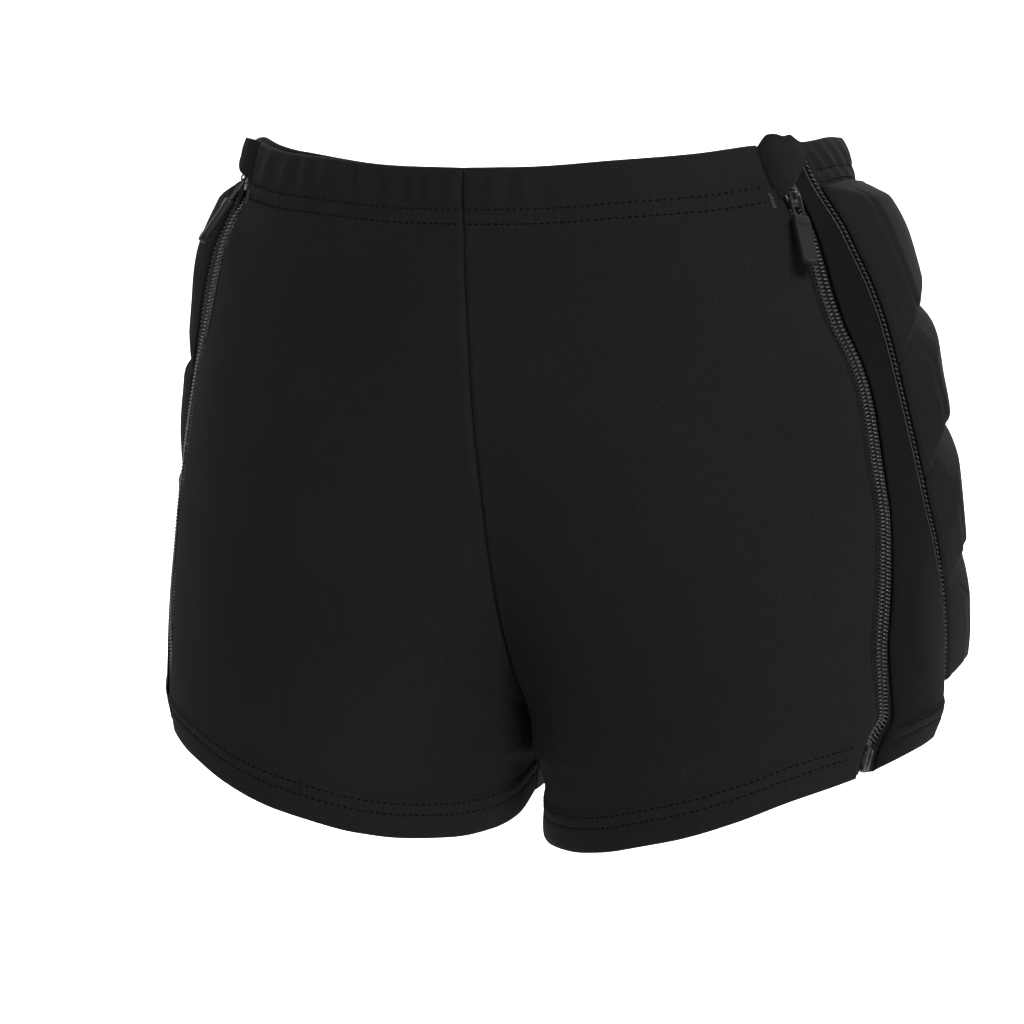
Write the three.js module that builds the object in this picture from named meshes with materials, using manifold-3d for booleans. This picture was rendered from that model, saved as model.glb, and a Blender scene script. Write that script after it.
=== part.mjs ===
// Padded skating shorts that open down both sides on zips, with four foam blocks over each hip.
// Millimetres, +Z up, the wearer faces -Y and the wearer's left is +X.
// The origin is the middle of the waist opening, level with the front of the rim.
import * as THREE from "three";
import { mergeVertices } from "three/addons/utils/BufferGeometryUtils.js";
import Module from "manifold-3d";

const wasm = await Module();
wasm.setup();

// Driving sizes of the garment
const hipWidth = 356;
const hipDepth = 218;
const frontRise = 247;
const legDrop = 36;
const legGap = 14;
const sideLift = 22;
const rimLean = 6.5;
const hemLean = 5;
const hemSweep = 46;
const crotchArch = 22;

// Cloth
const clothThickness = 1.6;
const casingHeight = 24;
const backCasingHeight = 18;
const casingThickness = 2.8;
const hemBand = 16;
const hemThickness = 2.4;
const frontGatherDepth = 1.1;
const backGatherDepth = 1.2;
const backGatherPitch = 11;
const seamGap = 0.3;

// Hip pads
const padThickness = 12;
const padEdgeThickness = 2;
const padGrooveWidth = 1.6;
const padFrontBevel = 16;
const padRearBevel = 22;
const padTopBevel = 11;
const padBottomBevel = 8;
const padGrooveLift = 44;
const padSeat = 1.1;

// Zip
const chainWidth = 5.6;
const chainThickness = 2.4;
const tapeThickness = 0.8;
const tapeRoom = 0.9;
const tapeUnderlap = 3.2;
const slotStep = 0.9;
const frontTapeShown = 2.6;
const sideTapeShown = 1.8;
const sliderWidth = 8.2;
const sliderLength = 10.5;
const sliderPlate = 1.1;
const sliderDrop = { left: 21.5, right: 16.5 };
const sliderPlay = 0.5;
const bridgeWidth = 1.6;
const bridgeLength = 5;
const bridgeBar = 0.9;
const linkWire = 1.1;
const linkWidth = 5.8;
const linkLength = 15;
const linkPlay = 0.4;
const tabLength = 23;
const tabWidth = 8;
const tabThickness = 3.2;
const tabGrip = 3;
const boxLength = 11;
const boxWidth = 4.4;
const boxThickness = 3.4;
const flapWidth = 22.5;
const flapStart = 8.4;
const flapLift = 4.8;
const flapHeight = { left: 24, right: 17 };
// How far the flap's humps rise above the rim, against its table.
const flapCrown = { left: 1, right: 0.3 };

// Grid sizes, which set how finely the cloth is faceted
const frontColumns = 14;
const backColumns = 14;
const sideColumns = 6;
const padColumns = 10;
const frontBandColumns = 54;
const backBandColumns = 44;
const flapColumns = 10;
const downSteps = [0, 0.05, 0.12, 0.24, 0.36, 0.47, 0.57, 0.66, 0.74, 0.81, 0.87, 0.92, 0.955, 0.98, 1];

const black = {
  cloth: 0x1b1b1c,
  pad: 0x202021,
  tape: 0x141414,
  chain: 0x303032,
  metal: 0x2a2a2c,
  rubber: 0x161616,
};

// Body sections. level is 0 at the front rim, 1 at the crotch and 2 at the lowest hem. width is a share of
// half the hip width, front and back are shares of the hip depth, and the pinches say how far the middle of
// the front and back has drawn in between the legs.
const sections = [
  { level: -0.105, width: 0.738, front: 0.427, back: 0.427, frontPinch: 0, backPinch: 0 },
  { level: 0, width: 0.785, front: 0.431, back: 0.463, frontPinch: 0, backPinch: 0 },
  { level: 0.113, width: 0.866, front: 0.429, back: 0.505, frontPinch: 0, backPinch: 0 },
  { level: 0.243, width: 0.91, front: 0.422, back: 0.541, frontPinch: 0.01, backPinch: 0 },
  { level: 0.385, width: 0.944, front: 0.417, back: 0.569, frontPinch: 0.05, backPinch: 0 },
  { level: 0.555, width: 0.978, front: 0.413, back: 0.587, frontPinch: 0.17, backPinch: 0.02 },
  { level: 0.64, width: 0.989, front: 0.413, back: 0.587, frontPinch: 0.24, backPinch: 0.06 },
  { level: 0.729, width: 1, front: 0.413, back: 0.583, frontPinch: 0.345, backPinch: 0.14 },
  { level: 0.818, width: 1.006, front: 0.408, back: 0.564, frontPinch: 0.5, backPinch: 0.28 },
  { level: 0.87, width: 1.006, front: 0.406, back: 0.546, frontPinch: 0.63, backPinch: 0.42 },
  { level: 0.911, width: 1, front: 0.404, back: 0.528, frontPinch: 0.76, backPinch: 0.57 },
  { level: 0.951, width: 0.978, front: 0.404, back: 0.5, frontPinch: 0.88, backPinch: 0.77 },
  { level: 1, width: 0.965, front: 0.404, back: 0.468, frontPinch: 1, backPinch: 1 },
  { level: 2, width: 0.935, front: 0.404, back: 0.44, frontPinch: 1, backPinch: 1 },
];
const legCentreShare = 0.515;
const legForward = 2;
const legBackShare = 0.93;
const sideSquareness = 0.03;
const hipFlatness = 0.1;
const thighFlatness = 0.3;

// around runs from 0 at the centre front, over the side at 0.5, to 1 at the centre back.
// Height of the rim as a share of the side lift.
const rimLine = [
  { around: 0, rise: 0 },
  { around: 0.06, rise: 0.03 },
  { around: 0.15, rise: 0.2 },
  { around: 0.22, rise: 0.36 },
  { around: 0.3, rise: 0.62 },
  { around: 0.37, rise: 0.78 },
  { around: 0.46, rise: 0.98 },
  { around: 0.56, rise: 0.96 },
  { around: 0.72, rise: 0.82 },
  { around: 1, rise: 0.64 },
];
// Share of the rim's lean to one side, which is less behind the hips.
const leanLine = [
  { around: 0.3, share: 1 },
  { around: 0.4, share: 1 },
  { around: 0.56, share: 0.5 },
  { around: 1, share: 0.5 },
];
// Height of the hem above its lowest point as a share of the hem sweep.
const hemLine = [
  { around: 0, rise: 0.33 },
  { around: 0.03, rise: 0.13 },
  { around: 0.06, rise: 0.045 },
  { around: 0.1, rise: 0 },
  { around: 0.14, rise: 0.01 },
  { around: 0.18, rise: 0.065 },
  { around: 0.22, rise: 0.175 },
  { around: 0.26, rise: 0.3 },
  { around: 0.3, rise: 0.455 },
  { around: 0.34, rise: 0.63 },
  { around: 0.39, rise: 0.8 },
  { around: 0.46, rise: 1.02 },
  { around: 0.52, rise: 1.12 },
  { around: 0.62, rise: 1.04 },
  { around: 0.8, rise: 0.6 },
  { around: 1, rise: 0.33 },
];
// Where the middle of the zip and the hip seam lie, by level down the body.
const zipLine = [
  { level: -0.1, around: 0.327 },
  { level: 0.09, around: 0.325 },
  { level: 0.19, around: 0.329 },
  { level: 0.26, around: 0.338 },
  { level: 0.33, around: 0.358 },
  { level: 0.39, around: 0.368 },
  { level: 0.5, around: 0.374 },
  { level: 0.6, around: 0.381 },
  { level: 0.78, around: 0.379 },
  { level: 0.87, around: 0.392 },
  { level: 0.93, around: 0.405 },
  { level: 1.2, around: 0.407 },
];
const hipSeamLine = [
  { level: -0.1, around: 0.368 },
  { level: 0.03, around: 0.371 },
  { level: 0.12, around: 0.384 },
  { level: 0.2, around: 0.406 },
  { level: 0.25, around: 0.418 },
  { level: 0.4, around: 0.441 },
  { level: 0.56, around: 0.468 },
  { level: 0.64, around: 0.492 },
  { level: 0.75, around: 0.514 },
  { level: 0.85, around: 0.532 },
  { level: 0.98, around: 0.542 },
  { level: 1.2, around: 0.545 },
];
// The pads from the top down: the level of each pad's lower edge where it meets the hip seam, and how
// much of the groove's climb towards the back that edge takes.
const padRows = [
  { name: "upper", lower: 0.33, climb: 1 },
  { name: "middle", lower: 0.522, climb: 1 },
  { name: "lower", lower: 0.714, climb: 1 },
  { name: "bottom", lower: 0.87, climb: 0.1 },
];
// The climb of a groove across a pad, from the hip seam to the pad's rear edge.
const grooveClimb = [
  { across: 0, climb: 0 },
  { across: 0.16, climb: 0.42 },
  { across: 0.35, climb: 0.8 },
  { across: 0.6, climb: 1 },
  { across: 1, climb: 0.9 },
];
// Thickness of the pads as a share of the full thickness. The upper pads thin out over the side of the hip.
const padFullness = [
  { across: 0, upper: 0.85, middle: 0.9, lower: 0.9, bottom: 0.95 },
  { across: 0.16, upper: 0.85, middle: 0.92, lower: 0.95, bottom: 1 },
  { across: 0.42, upper: 0.52, middle: 0.7, lower: 0.82, bottom: 1.15 },
  { across: 0.75, upper: 0.5, middle: 0.68, lower: 0.82, bottom: 1 },
  { across: 1, upper: 0.5, middle: 0.68, lower: 0.82, bottom: 1 },
];
// Gathers of the front waistband as shares of its length from the centre seam towards the zip.
const frontGathers = {
  left: [
    { at: 0.07, width: 0.035, depth: 0.6 },
    { at: 0.15, width: 0.05, depth: 0.9 },
    { at: 0.24, width: 0.04, depth: 0.5 },
    { at: 0.94, width: 0.04, depth: 0.5 },
  ],
  right: [
    { at: 0.09, width: 0.035, depth: 0.5 },
    { at: 0.19, width: 0.035, depth: 0.7 },
    { at: 0.29, width: 0.035, depth: 0.8 },
    { at: 0.4, width: 0.035, depth: 0.9 },
    { at: 0.5, width: 0.035, depth: 1 },
    { at: 0.61, width: 0.04, depth: 1 },
    { at: 0.73, width: 0.045, depth: 0.9 },
    { at: 0.86, width: 0.045, depth: 0.6 },
  ],
};
// The flap over the top of the zip: top and bottom are shares of its height from the rim, lift is how far
// it stands off the cloth.
const flapOutline = [
  { across: 0, top: 0.02, bottom: 1, lift: 0 },
  { across: 0.16, top: -0.13, bottom: 0.9, lift: 0.75 },
  { across: 0.3, top: -0.12, bottom: 0.82, lift: 1 },
  { across: 0.45, top: -0.065, bottom: 0.72, lift: 1 },
  { across: 0.6, top: -0.085, bottom: 0.6, lift: 1 },
  { across: 0.76, top: 0, bottom: 0.49, lift: 0.92 },
  { across: 0.9, top: 0.05, bottom: 0.37, lift: 0.75 },
  { across: 1, top: 0.11, bottom: 0.24, lift: 0.7 },
];
// How each pull lies: lift off the zip and swing to the side, in degrees.
const pullPose = {
  left: { lift: 7, swing: -22 },
  right: { lift: 20, swing: 4 },
};

const sides = { left: 1, right: -1 };
const clamp = (value, low, high) => Math.min(high, Math.max(low, value));
const mix = (a, b, share) => a + (b - a) * share;
const radians = (degrees) => (degrees * Math.PI) / 180;
const ease = (share) => share * share * (3 - 2 * share);

// Smooth value of a column of a table at a place along another column. It never overshoots the rows.
function read(table, along, column, place) {
  const last = table.length - 1;
  if (place <= table[0][along]) return table[0][column];
  if (place >= table[last][along]) return table[last][column];
  let row = 0;
  while (table[row + 1][along] < place) row += 1;
  const step = (i) => (table[i + 1][column] - table[i][column]) / (table[i + 1][along] - table[i][along]);
  const slope = (i) => {
    if (i === 0) return step(0);
    if (i === last) return step(last - 1);
    const before = step(i - 1);
    const after = step(i);
    return before * after <= 0 ? 0 : (2 * before * after) / (before + after);
  };
  const length = table[row + 1][along] - table[row][along];
  const t = (place - table[row][along]) / length;
  return (
    (2 * t ** 3 - 3 * t ** 2 + 1) * table[row][column] +
    (t ** 3 - 2 * t ** 2 + t) * length * slope(row) +
    (3 * t ** 2 - 2 * t ** 3) * table[row + 1][column] +
    (t ** 3 - t ** 2) * length * slope(row + 1)
  );
}

const levelOf = (z) => (z > -frontRise ? -z / frontRise : 1 - (z + frontRise) / legDrop);
const heightOf = (level) => (level < 1 ? -level * frontRise : -frontRise - (level - 1) * legDrop);
const rimHeight = (around, side) => {
  const lean = rimLean * Math.sin(Math.PI * around) * read(leanLine, "around", "share", around);
  return read(rimLine, "around", "rise", around) * sideLift - side * lean;
};
const hemHeight = (around, side) => {
  const rise = read(hemLine, "around", "rise", around) * hemSweep;
  return -frontRise - legDrop + rise - side * hemLean * Math.sin(Math.PI * around) ** 2;
};
const zipAround = (z) => read(zipLine, "level", "around", -z / frontRise);
const hipSeamAround = (z) => read(hipSeamLine, "level", "around", -z / frontRise);

// Half the gap between the legs, which opens as an arch under the crotch.
function halfLegGap(z) {
  const share = clamp((-frontRise - z) / crotchArch, 0, 1);
  return (legGap / 2) * Math.sqrt(1 - (1 - share) ** 2);
}

// The middle of the cloth on the wearer's left, blended from a whole body section to one leg's section.
function bodyPoint(around, z) {
  const level = levelOf(z);
  const halfWidth = (read(sections, "level", "width", level) * hipWidth) / 2;
  const front = read(sections, "level", "front", level) * hipDepth;
  const back = read(sections, "level", "back", level) * hipDepth;
  const turn = Math.PI * around;
  const square = 1 + sideSquareness * Math.sin(2 * turn) ** 2;
  const hipFlat = 1 - hipFlatness * Math.max(0, -Math.cos(turn));
  const bodyX = halfWidth * Math.sin(turn) * square * hipFlat;
  const bodyY = -(Math.cos(turn) > 0 ? front : back) * Math.cos(turn) * square;
  const legX = (legCentreShare * hipWidth) / 2;
  const legTurn = 2 * turn - Math.PI / 2;
  const thighFlat = 1 - thighFlatness * Math.max(0, -Math.cos(legTurn));
  const legAcross = Math.sin(legTurn) > 0 ? (halfWidth - legX) * thighFlat : legX - halfLegGap(z);
  const legDepth = Math.cos(legTurn) > 0 ? front + legForward : back * legBackShare - legForward;
  const towardsBack = (1 - Math.cos(turn)) / 2;
  const frontPinch = read(sections, "level", "frontPinch", level);
  const backPinch = read(sections, "level", "backPinch", level);
  const pinch = mix(frontPinch, backPinch, towardsBack);
  return new THREE.Vector3(
    mix(bodyX, legX + legAcross * Math.sin(legTurn), pinch),
    mix(bodyY, legForward - legDepth * Math.cos(legTurn), pinch),
    z,
  );
}

// Outward direction of the cloth on the wearer's left. On the centre seams it has no sideways part.
function bodyNormal(around, z) {
  const small = 0.002;
  const low = clamp(around - small, 0, 1);
  const high = clamp(around + small, 0, 1);
  const acrossWay = bodyPoint(high, z).sub(bodyPoint(low, z));
  const downWay = bodyPoint(around, z - 0.5).sub(bodyPoint(around, z + 0.5));
  const normal = downWay.cross(acrossWay);
  const onSeam = around < small || around > 1 - small;
  if (onSeam && z > -frontRise) normal.x = 0;
  return normal.normalize();
}

// Moves a place round the body by a length in millimetres.
function shifted(around, z, length) {
  const small = 0.002;
  const perShare = bodyPoint(around + small, z).distanceTo(bodyPoint(around - small, z)) / (2 * small);
  return around + length / perShare;
}

// A point off the cloth, on the wearer's left for side 1 and mirrored for side -1.
function clothPoint(side, around, z, offset) {
  const point = bodyPoint(around, z).addScaledVector(bodyNormal(around, z), offset);
  point.x = Math.max(point.x, seamGap / 2) * side;
  return point;
}

// A closed sheet over a grid: place(column share, row) gives around and z, and outer and inner give the two
// faces' distances from the middle of the cloth.
function sheet({ side, columns, rows, place, outer, inner }) {
  const positions = [];
  const triangles = [];
  const width = columns.length;
  for (const offset of [outer, inner]) {
    for (let row = 0; row < rows; row += 1) {
      for (const share of columns) {
        const { around, z } = place(share, row);
        positions.push(...clothPoint(side, around, z, offset(share, row, around, z)).toArray());
      }
    }
  }
  const at = (face, row, column) => face * rows * width + row * width + column;
  const quad = (a, b, c, d) => {
    if (side > 0) triangles.push(a, b, c, a, c, d);
    else triangles.push(a, c, b, a, d, c);
  };
  for (let row = 0; row < rows - 1; row += 1) {
    for (let column = 0; column < width - 1; column += 1) {
      quad(at(0, row, column), at(0, row + 1, column), at(0, row + 1, column + 1), at(0, row, column + 1));
      quad(at(1, row, column), at(1, row, column + 1), at(1, row + 1, column + 1), at(1, row + 1, column));
    }
    quad(at(0, row, 0), at(1, row, 0), at(1, row + 1, 0), at(0, row + 1, 0));
    const end = width - 1;
    quad(at(0, row, end), at(0, row + 1, end), at(1, row + 1, end), at(1, row, end));
  }
  for (let column = 0; column < width - 1; column += 1) {
    quad(at(0, 0, column), at(0, 0, column + 1), at(1, 0, column + 1), at(1, 0, column));
    const foot = rows - 1;
    quad(at(0, foot, column), at(1, foot, column), at(1, foot, column + 1), at(0, foot, column + 1));
  }
  const geometry = new THREE.BufferGeometry();
  geometry.setAttribute("position", new THREE.Float32BufferAttribute(positions, 3));
  geometry.setIndex(triangles);
  geometry.computeVertexNormals();
  return geometry;
}

const evenShares = (count) => Array.from({ length: count + 1 }, (unused, i) => i / count);

// The rows shared by everything that runs down the body, so that neighbouring edges are parallel.
const casingRows = (height) =>
  [0, 0.5, 1].map((share) => (around, side) => rimHeight(around, side) - share * height);
const lowerRows = (height) =>
  downSteps.slice(1).map((share) => (around, side) => {
    const top = rimHeight(around, side) - height;
    return mix(top, hemHeight(around, side) + hemBand, share);
  });
const hemTopRow = (around, side) => hemHeight(around, side) + hemBand * 0.97;
const panelRows = (height) => {
  const top = (around, side) => rimHeight(around, side) - height - seamGap;
  return [top, ...lowerRows(height), hemTopRow, hemHeight];
};
const fullRows = (height) => [...casingRows(height), ...lowerRows(height), hemTopRow, hemHeight];
const zipColumnRows = fullRows(casingHeight);

// Finds around and z where a column between two edges crosses a row.
function crossing(side, leftEdge, rightEdge, share, rowHeight) {
  let z = rowHeight(0.4, side);
  let around = 0;
  for (let turn = 0; turn < 8; turn += 1) {
    around = mix(leftEdge(z), rightEdge(z), share);
    z = rowHeight(around, side);
  }
  return { around, z };
}

// Cloth between two edges that run down the body. The hem is folded double, so it is thicker.
function clothPanel(side, leftEdge, rightEdge, columns, rows) {
  const hemStart = rows.length - 2;
  const outer = (share, row) => (row < hemStart ? clothThickness / 2 : hemThickness - clothThickness / 2);
  return sheet({
    side,
    columns: evenShares(columns),
    rows: rows.length,
    place: (share, row) => crossing(side, leftEdge, rightEdge, share, rows[row]),
    outer,
    inner: () => -clothThickness / 2,
  });
}

const centreFront = (z) => shifted(0, z, seamGap / 2);
const centreBack = (z) => shifted(1, z, -seamGap / 2);
const atZip = (length) => (z) => shifted(zipAround(z), z, length);
const atHipSeam = (length) => (z) => shifted(hipSeamAround(z), z, length);
const frontClothEdge = atZip(-chainWidth / 2 - frontTapeShown);
const sideClothEdge = atZip(chainWidth / 2 + sideTapeShown);

const frontPanel = (side) =>
  clothPanel(side, centreFront, frontClothEdge, frontColumns, panelRows(casingHeight));
const sidePanel = (side) =>
  clothPanel(side, sideClothEdge, atHipSeam(-seamGap / 2), sideColumns, fullRows(backCasingHeight));
const backPanel = (side) =>
  clothPanel(side, atHipSeam(seamGap / 2), centreBack, backColumns, panelRows(backCasingHeight));

// How far a row of gathers stands out at a share of the band's length.
function gatherHeight(gathers, share) {
  const bump = (fold) => fold.depth * Math.exp(-(((share - fold.at) / fold.width) ** 2));
  return gathers.reduce((sum, fold) => sum + bump(fold), 0);
}

// A waistband: the folded casing round its elastic, drawn into gathers between the rim and the stitching.
function waistband(side, leftEdge, rightEdge, columns, height, fullness) {
  const rows = casingRows(height);
  const gathered = [0.45, 1, 0];
  return sheet({
    side,
    columns: evenShares(columns),
    rows: rows.length,
    place: (share, row) => crossing(side, leftEdge, rightEdge, share, rows[row]),
    outer: (share, row) => (row < 2 ? casingThickness : clothThickness) / 2 + gathered[row] * fullness(share),
    inner: (share, row) => -(row < 2 ? casingThickness : clothThickness) / 2,
  });
}

function frontBand(side, name) {
  const fullness = (share) => frontGatherDepth * gatherHeight(frontGathers[name], share);
  return waistband(side, centreFront, atZip(-flapStart), frontBandColumns, casingHeight, fullness);
}

function backBand(side) {
  const start = hipSeamAround(0);
  const length = (1 - start) / (shifted(start, 0, 1) - start);
  const folds = Math.round(length / backGatherPitch);
  const fullness = (share) => (backGatherDepth * (1 - Math.cos(2 * Math.PI * folds * share))) / 2;
  return waistband(side, atHipSeam(seamGap / 2), centreBack, backBandColumns, backCasingHeight, fullness);
}

// One foam block of a hip pad, lying on the back panel. Its columns are those of the panel under it.
function hipPad(side, index) {
  const edgeAt = (row) => (around, across) => {
    const climb = read(grooveClimb, "across", "climb", across) * padGrooveLift * padRows[row].climb;
    return heightOf(padRows[row].lower) + climb;
  };
  const topEdge =
    index === 0
      ? (around) => rimHeight(around, side) - backCasingHeight - padGrooveWidth
      : (around, across) => edgeAt(index - 1)(around, across) - padGrooveWidth / 2;
  const lowEdge = (around, across) => edgeAt(index)(around, across) + (index < 3 ? padGrooveWidth / 2 : 0);
  const frontEdge = atHipSeam(padGrooveWidth);
  const rearEdge = (z) => mix(hipSeamAround(z), 1, padColumns / backColumns);
  const rowShares = [0, 0.14, 0.3, 0.55, 0.84, 1];
  const across = evenShares(padColumns);
  const place = (share, row) => {
    let z = heightOf(padRows[index].lower);
    let around = 0;
    for (let turn = 0; turn < 8; turn += 1) {
      around = mix(frontEdge(z), rearEdge(z), share);
      z = mix(topEdge(around, share), lowEdge(around, share), rowShares[row]);
    }
    return { around, z };
  };
  const rise = (distance, bevel) => ease(clamp(distance / bevel, 0, 1));
  const thickness = (share, row) => {
    const { around, z } = place(share, row);
    const toFront = bodyPoint(frontEdge(z), z).distanceTo(bodyPoint(around, z));
    const toRear = bodyPoint(rearEdge(z), z).distanceTo(bodyPoint(around, z));
    const height = topEdge(around, share) - lowEdge(around, share);
    const round = Math.min(
      rise(toFront, padFrontBevel),
      rise(toRear, padRearBevel),
      rise(rowShares[row] * height, padTopBevel),
      rise((1 - rowShares[row]) * height, padBottomBevel),
    );
    const full = padThickness * read(padFullness, "across", padRows[index].name, share);
    return mix(padEdgeThickness, full, round);
  };
  const seat = clothThickness / 2 + padSeat;
  return sheet({
    side,
    columns: across,
    rows: rowShares.length,
    place,
    outer: (share, row) => seat + thickness(share, row),
    inner: () => seat,
  });
}

// Depth of the middle of the zip below the middle of the cloth, so that its tapes pass under the cloth.
const tapeDepth = clothThickness / 2 + tapeRoom + tapeThickness / 2;
const chainDepth = tapeDepth - (chainThickness - tapeThickness) / 4;
const sliderHeight = (side) => rimHeight(zipAround(0), side) - sliderDrop[side > 0 ? "left" : "right"];
const chainTop = (side) => sliderHeight(side) + sliderLength / 2 - sliderWidth / 2;
const sliderFoot = (side) => sliderHeight(side) - sliderLength * 0.6;
const boxFoot = (side) => hemHeight(zipAround(-frontRise), side);
const chainFoot = (side) => boxFoot(side) + boxLength + 2 * seamGap;

// The shared rows that cross the zip between two heights, closed off by those heights themselves.
function zipRows(side, heights) {
  const spare = 2;
  const rows = [];
  heights.slice(1).forEach((low, i) => {
    const high = heights[i];
    const between = zipColumnRows.filter((row) => {
      const { z } = crossing(side, zipAround, zipAround, 0, row);
      return z < high - spare && z > low + spare;
    });
    rows.push(() => high, ...between);
  });
  const foot = heights[heights.length - 1];
  return [...rows, () => foot];
}

// One half of the zip tape. Above the slider the two halves close up to a narrow slot.
function zipTape(side, hand) {
  const near = (z) => (z > chainTop(side) ? slotStep : chainWidth / 2 + seamGap);
  const shown = hand < 0 ? frontTapeShown : sideTapeShown;
  const inside = (z) => shifted(zipAround(z), z, hand * near(z));
  const outside = (z) => shifted(zipAround(z), z, hand * (chainWidth / 2 + shown + tapeUnderlap));
  const slotFoot = chainTop(side) + slotStep;
  const steps = [slotFoot - 2 * slotStep, sliderFoot(side), chainFoot(side), boxFoot(side)];
  const belowSlot = zipRows(side, steps).slice(0, -1);
  const rows = [zipColumnRows[0], zipColumnRows[1], () => slotFoot, ...belowSlot, hemHeight];
  return sheet({
    side,
    columns: [0, 1],
    rows: rows.length,
    place: (share, row) =>
      crossing(side, hand < 0 ? outside : inside, hand < 0 ? inside : outside, share, rows[row]),
    outer: () => -tapeDepth + tapeThickness / 2,
    inner: () => -tapeDepth - tapeThickness / 2,
  });
}

// The closed coils of the zip, from inside the slider down to the box at the hem.
function zipChain(side) {
  const rows = zipRows(side, [chainTop(side) - slotStep, sliderFoot(side), chainFoot(side)]);
  return sheet({
    side,
    columns: [0, 0.25, 0.75, 1],
    rows: rows.length,
    place: (share, row) => crossing(side, atZip(-chainWidth / 2), atZip(chainWidth / 2), share, rows[row]),
    outer: (share) => -chainDepth + (chainThickness / 2) * (share > 0 && share < 1 ? 1 : 0.6),
    inner: (share) => -chainDepth - (chainThickness / 2) * (share > 0 && share < 1 ? 1 : 0.6),
  });
}

// The cloth flap that guards the top of the zip.
function zipFlap(side) {
  const base = atZip(-flapStart + 2 * seamGap);
  const tip = atZip(flapWidth - flapStart);
  const column = (share, name) => read(flapOutline, "across", name, share);
  const name = side > 0 ? "left" : "right";
  const rowShares = [0, 0.25, 0.5, 0.75, 1];
  return sheet({
    side,
    columns: evenShares(flapColumns),
    rows: rowShares.length,
    place: (share, row) => {
      const top = column(share, "top") * (column(share, "top") < 0 ? flapCrown[name] : 1);
      const drop = mix(top, column(share, "bottom"), rowShares[row]) * flapHeight[name];
      return crossing(side, base, tip, share, (around) => rimHeight(around, side) - drop);
    },
    outer: (share) => clothThickness / 2 + column(share, "lift") * flapLift,
    inner: (share) => -clothThickness / 2 + column(share, "lift") * flapLift,
  });
}

// Hard parts are drawn flat in a frame whose x runs across the zip, y up it and z away from the body.
const rectangle = (width, height, low) => [
  [-width / 2, low],
  [width / 2, low],
  [width / 2, low + height],
  [-width / 2, low + height],
];
const shapeOf = (points) => new THREE.Shape(points.map(([x, y]) => new THREE.Vector2(x, y)));

function slab(points, thickness, low) {
  const geometry = new THREE.ExtrudeGeometry(shapeOf(points), { depth: thickness, bevelEnabled: false });
  return geometry.translate(0, 0, low);
}

// The same, for an outline drawn with its x up the zip and its y away from the body.
function upright(points, width) {
  const geometry = new THREE.ExtrudeGeometry(shapeOf(points), { depth: width, bevelEnabled: false });
  geometry.translate(0, 0, -width / 2);
  const turn = new THREE.Matrix4().makeBasis(
    new THREE.Vector3(0, 1, 0),
    new THREE.Vector3(0, 0, 1),
    new THREE.Vector3(1, 0, 0),
  );
  return geometry.applyMatrix4(turn);
}

function solidOf(geometry) {
  const bare = new THREE.BufferGeometry();
  bare.setAttribute("position", geometry.getAttribute("position"));
  bare.setIndex(geometry.index);
  const merged = mergeVertices(bare, 1e-4);
  return new wasm.Manifold(
    new wasm.Mesh({
      numProp: 3,
      vertProperties: merged.getAttribute("position").array,
      triVerts: new Uint32Array(merged.index.array),
    }),
  );
}

function geometryOf(solid) {
  const mesh = solid.getMesh();
  const geometry = new THREE.BufferGeometry();
  geometry.setAttribute("position", new THREE.Float32BufferAttribute(Array.from(mesh.vertProperties), 3));
  geometry.setIndex(Array.from(mesh.triVerts));
  geometry.computeVertexNormals();
  return geometry;
}

const join = (...pieces) => geometryOf(pieces.map(solidOf).reduce((sum, piece) => sum.add(piece)));
const cut = (piece, tool) => geometryOf(solidOf(piece).subtract(solidOf(tool)));

// Heights in the slider's frame, whose zero is the middle of the chain.
const plateUnder = chainThickness / 2 + sliderPlay;
const plateTop = plateUnder + sliderPlate;
const pinRoom = linkWire * Math.SQRT1_2 + linkPlay;
const pinHeight = plateTop + pinRoom;
const bridgeTop = pinHeight + pinRoom + bridgeBar;

// The slider: two shield plates joined by the wedge that parts the coils, and the bridge that holds the pull.
function slider() {
  const half = sliderWidth / 2;
  const end = sliderLength / 2;
  const shield = [
    [-half * 0.7, -end],
    [half * 0.7, -end],
    [half * 0.82, -end * 0.2],
    [half, end * 0.35],
    [half * 0.9, end * 0.85],
    [half * 0.45, end],
    [-half * 0.45, end],
    [-half * 0.9, end * 0.85],
    [-half, end * 0.35],
    [-half * 0.82, -end * 0.2],
  ];
  const wedgeFoot = end - half + seamGap;
  const wedge = [
    [0, wedgeFoot],
    [seamGap * 2, wedgeFoot + half * 0.5],
    [0, end * 0.96],
    [-seamGap * 2, wedgeFoot + half * 0.5],
  ];
  const roomEnd = bridgeLength / 2 - bridgeBar;
  const sunk = plateTop - sliderPlate / 2;
  const bridge = [
    [-bridgeLength / 2, sunk],
    [-roomEnd, sunk],
    [-roomEnd, bridgeTop - bridgeBar],
    [roomEnd, bridgeTop - bridgeBar],
    [roomEnd, sunk],
    [bridgeLength / 2, sunk],
    [bridgeLength / 2, bridgeTop - bridgeBar],
    [bridgeLength / 4, bridgeTop],
    [-bridgeLength / 4, bridgeTop],
    [-bridgeLength / 2, bridgeTop - bridgeBar],
  ];
  return join(
    slab(shield, sliderPlate, plateUnder),
    slab(shield, sliderPlate, -plateTop),
    slab(wedge, 2 * plateTop - sliderPlate, -plateTop + sliderPlate / 2),
    upright(bridge, bridgeWidth),
  );
}

// The pull's wire link. The frame's zero is the middle of the bar that passes under the bridge.
function pullLink() {
  const outer = rectangle(linkWidth, linkLength, linkWire / 2 - linkLength);
  const hole = rectangle(linkWidth - 2 * linkWire, linkLength - 2 * linkWire, 1.5 * linkWire - linkLength);
  return cut(slab(outer, linkWire, -linkWire / 2), slab(hole, linkWire * 2, -linkWire));
}

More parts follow.
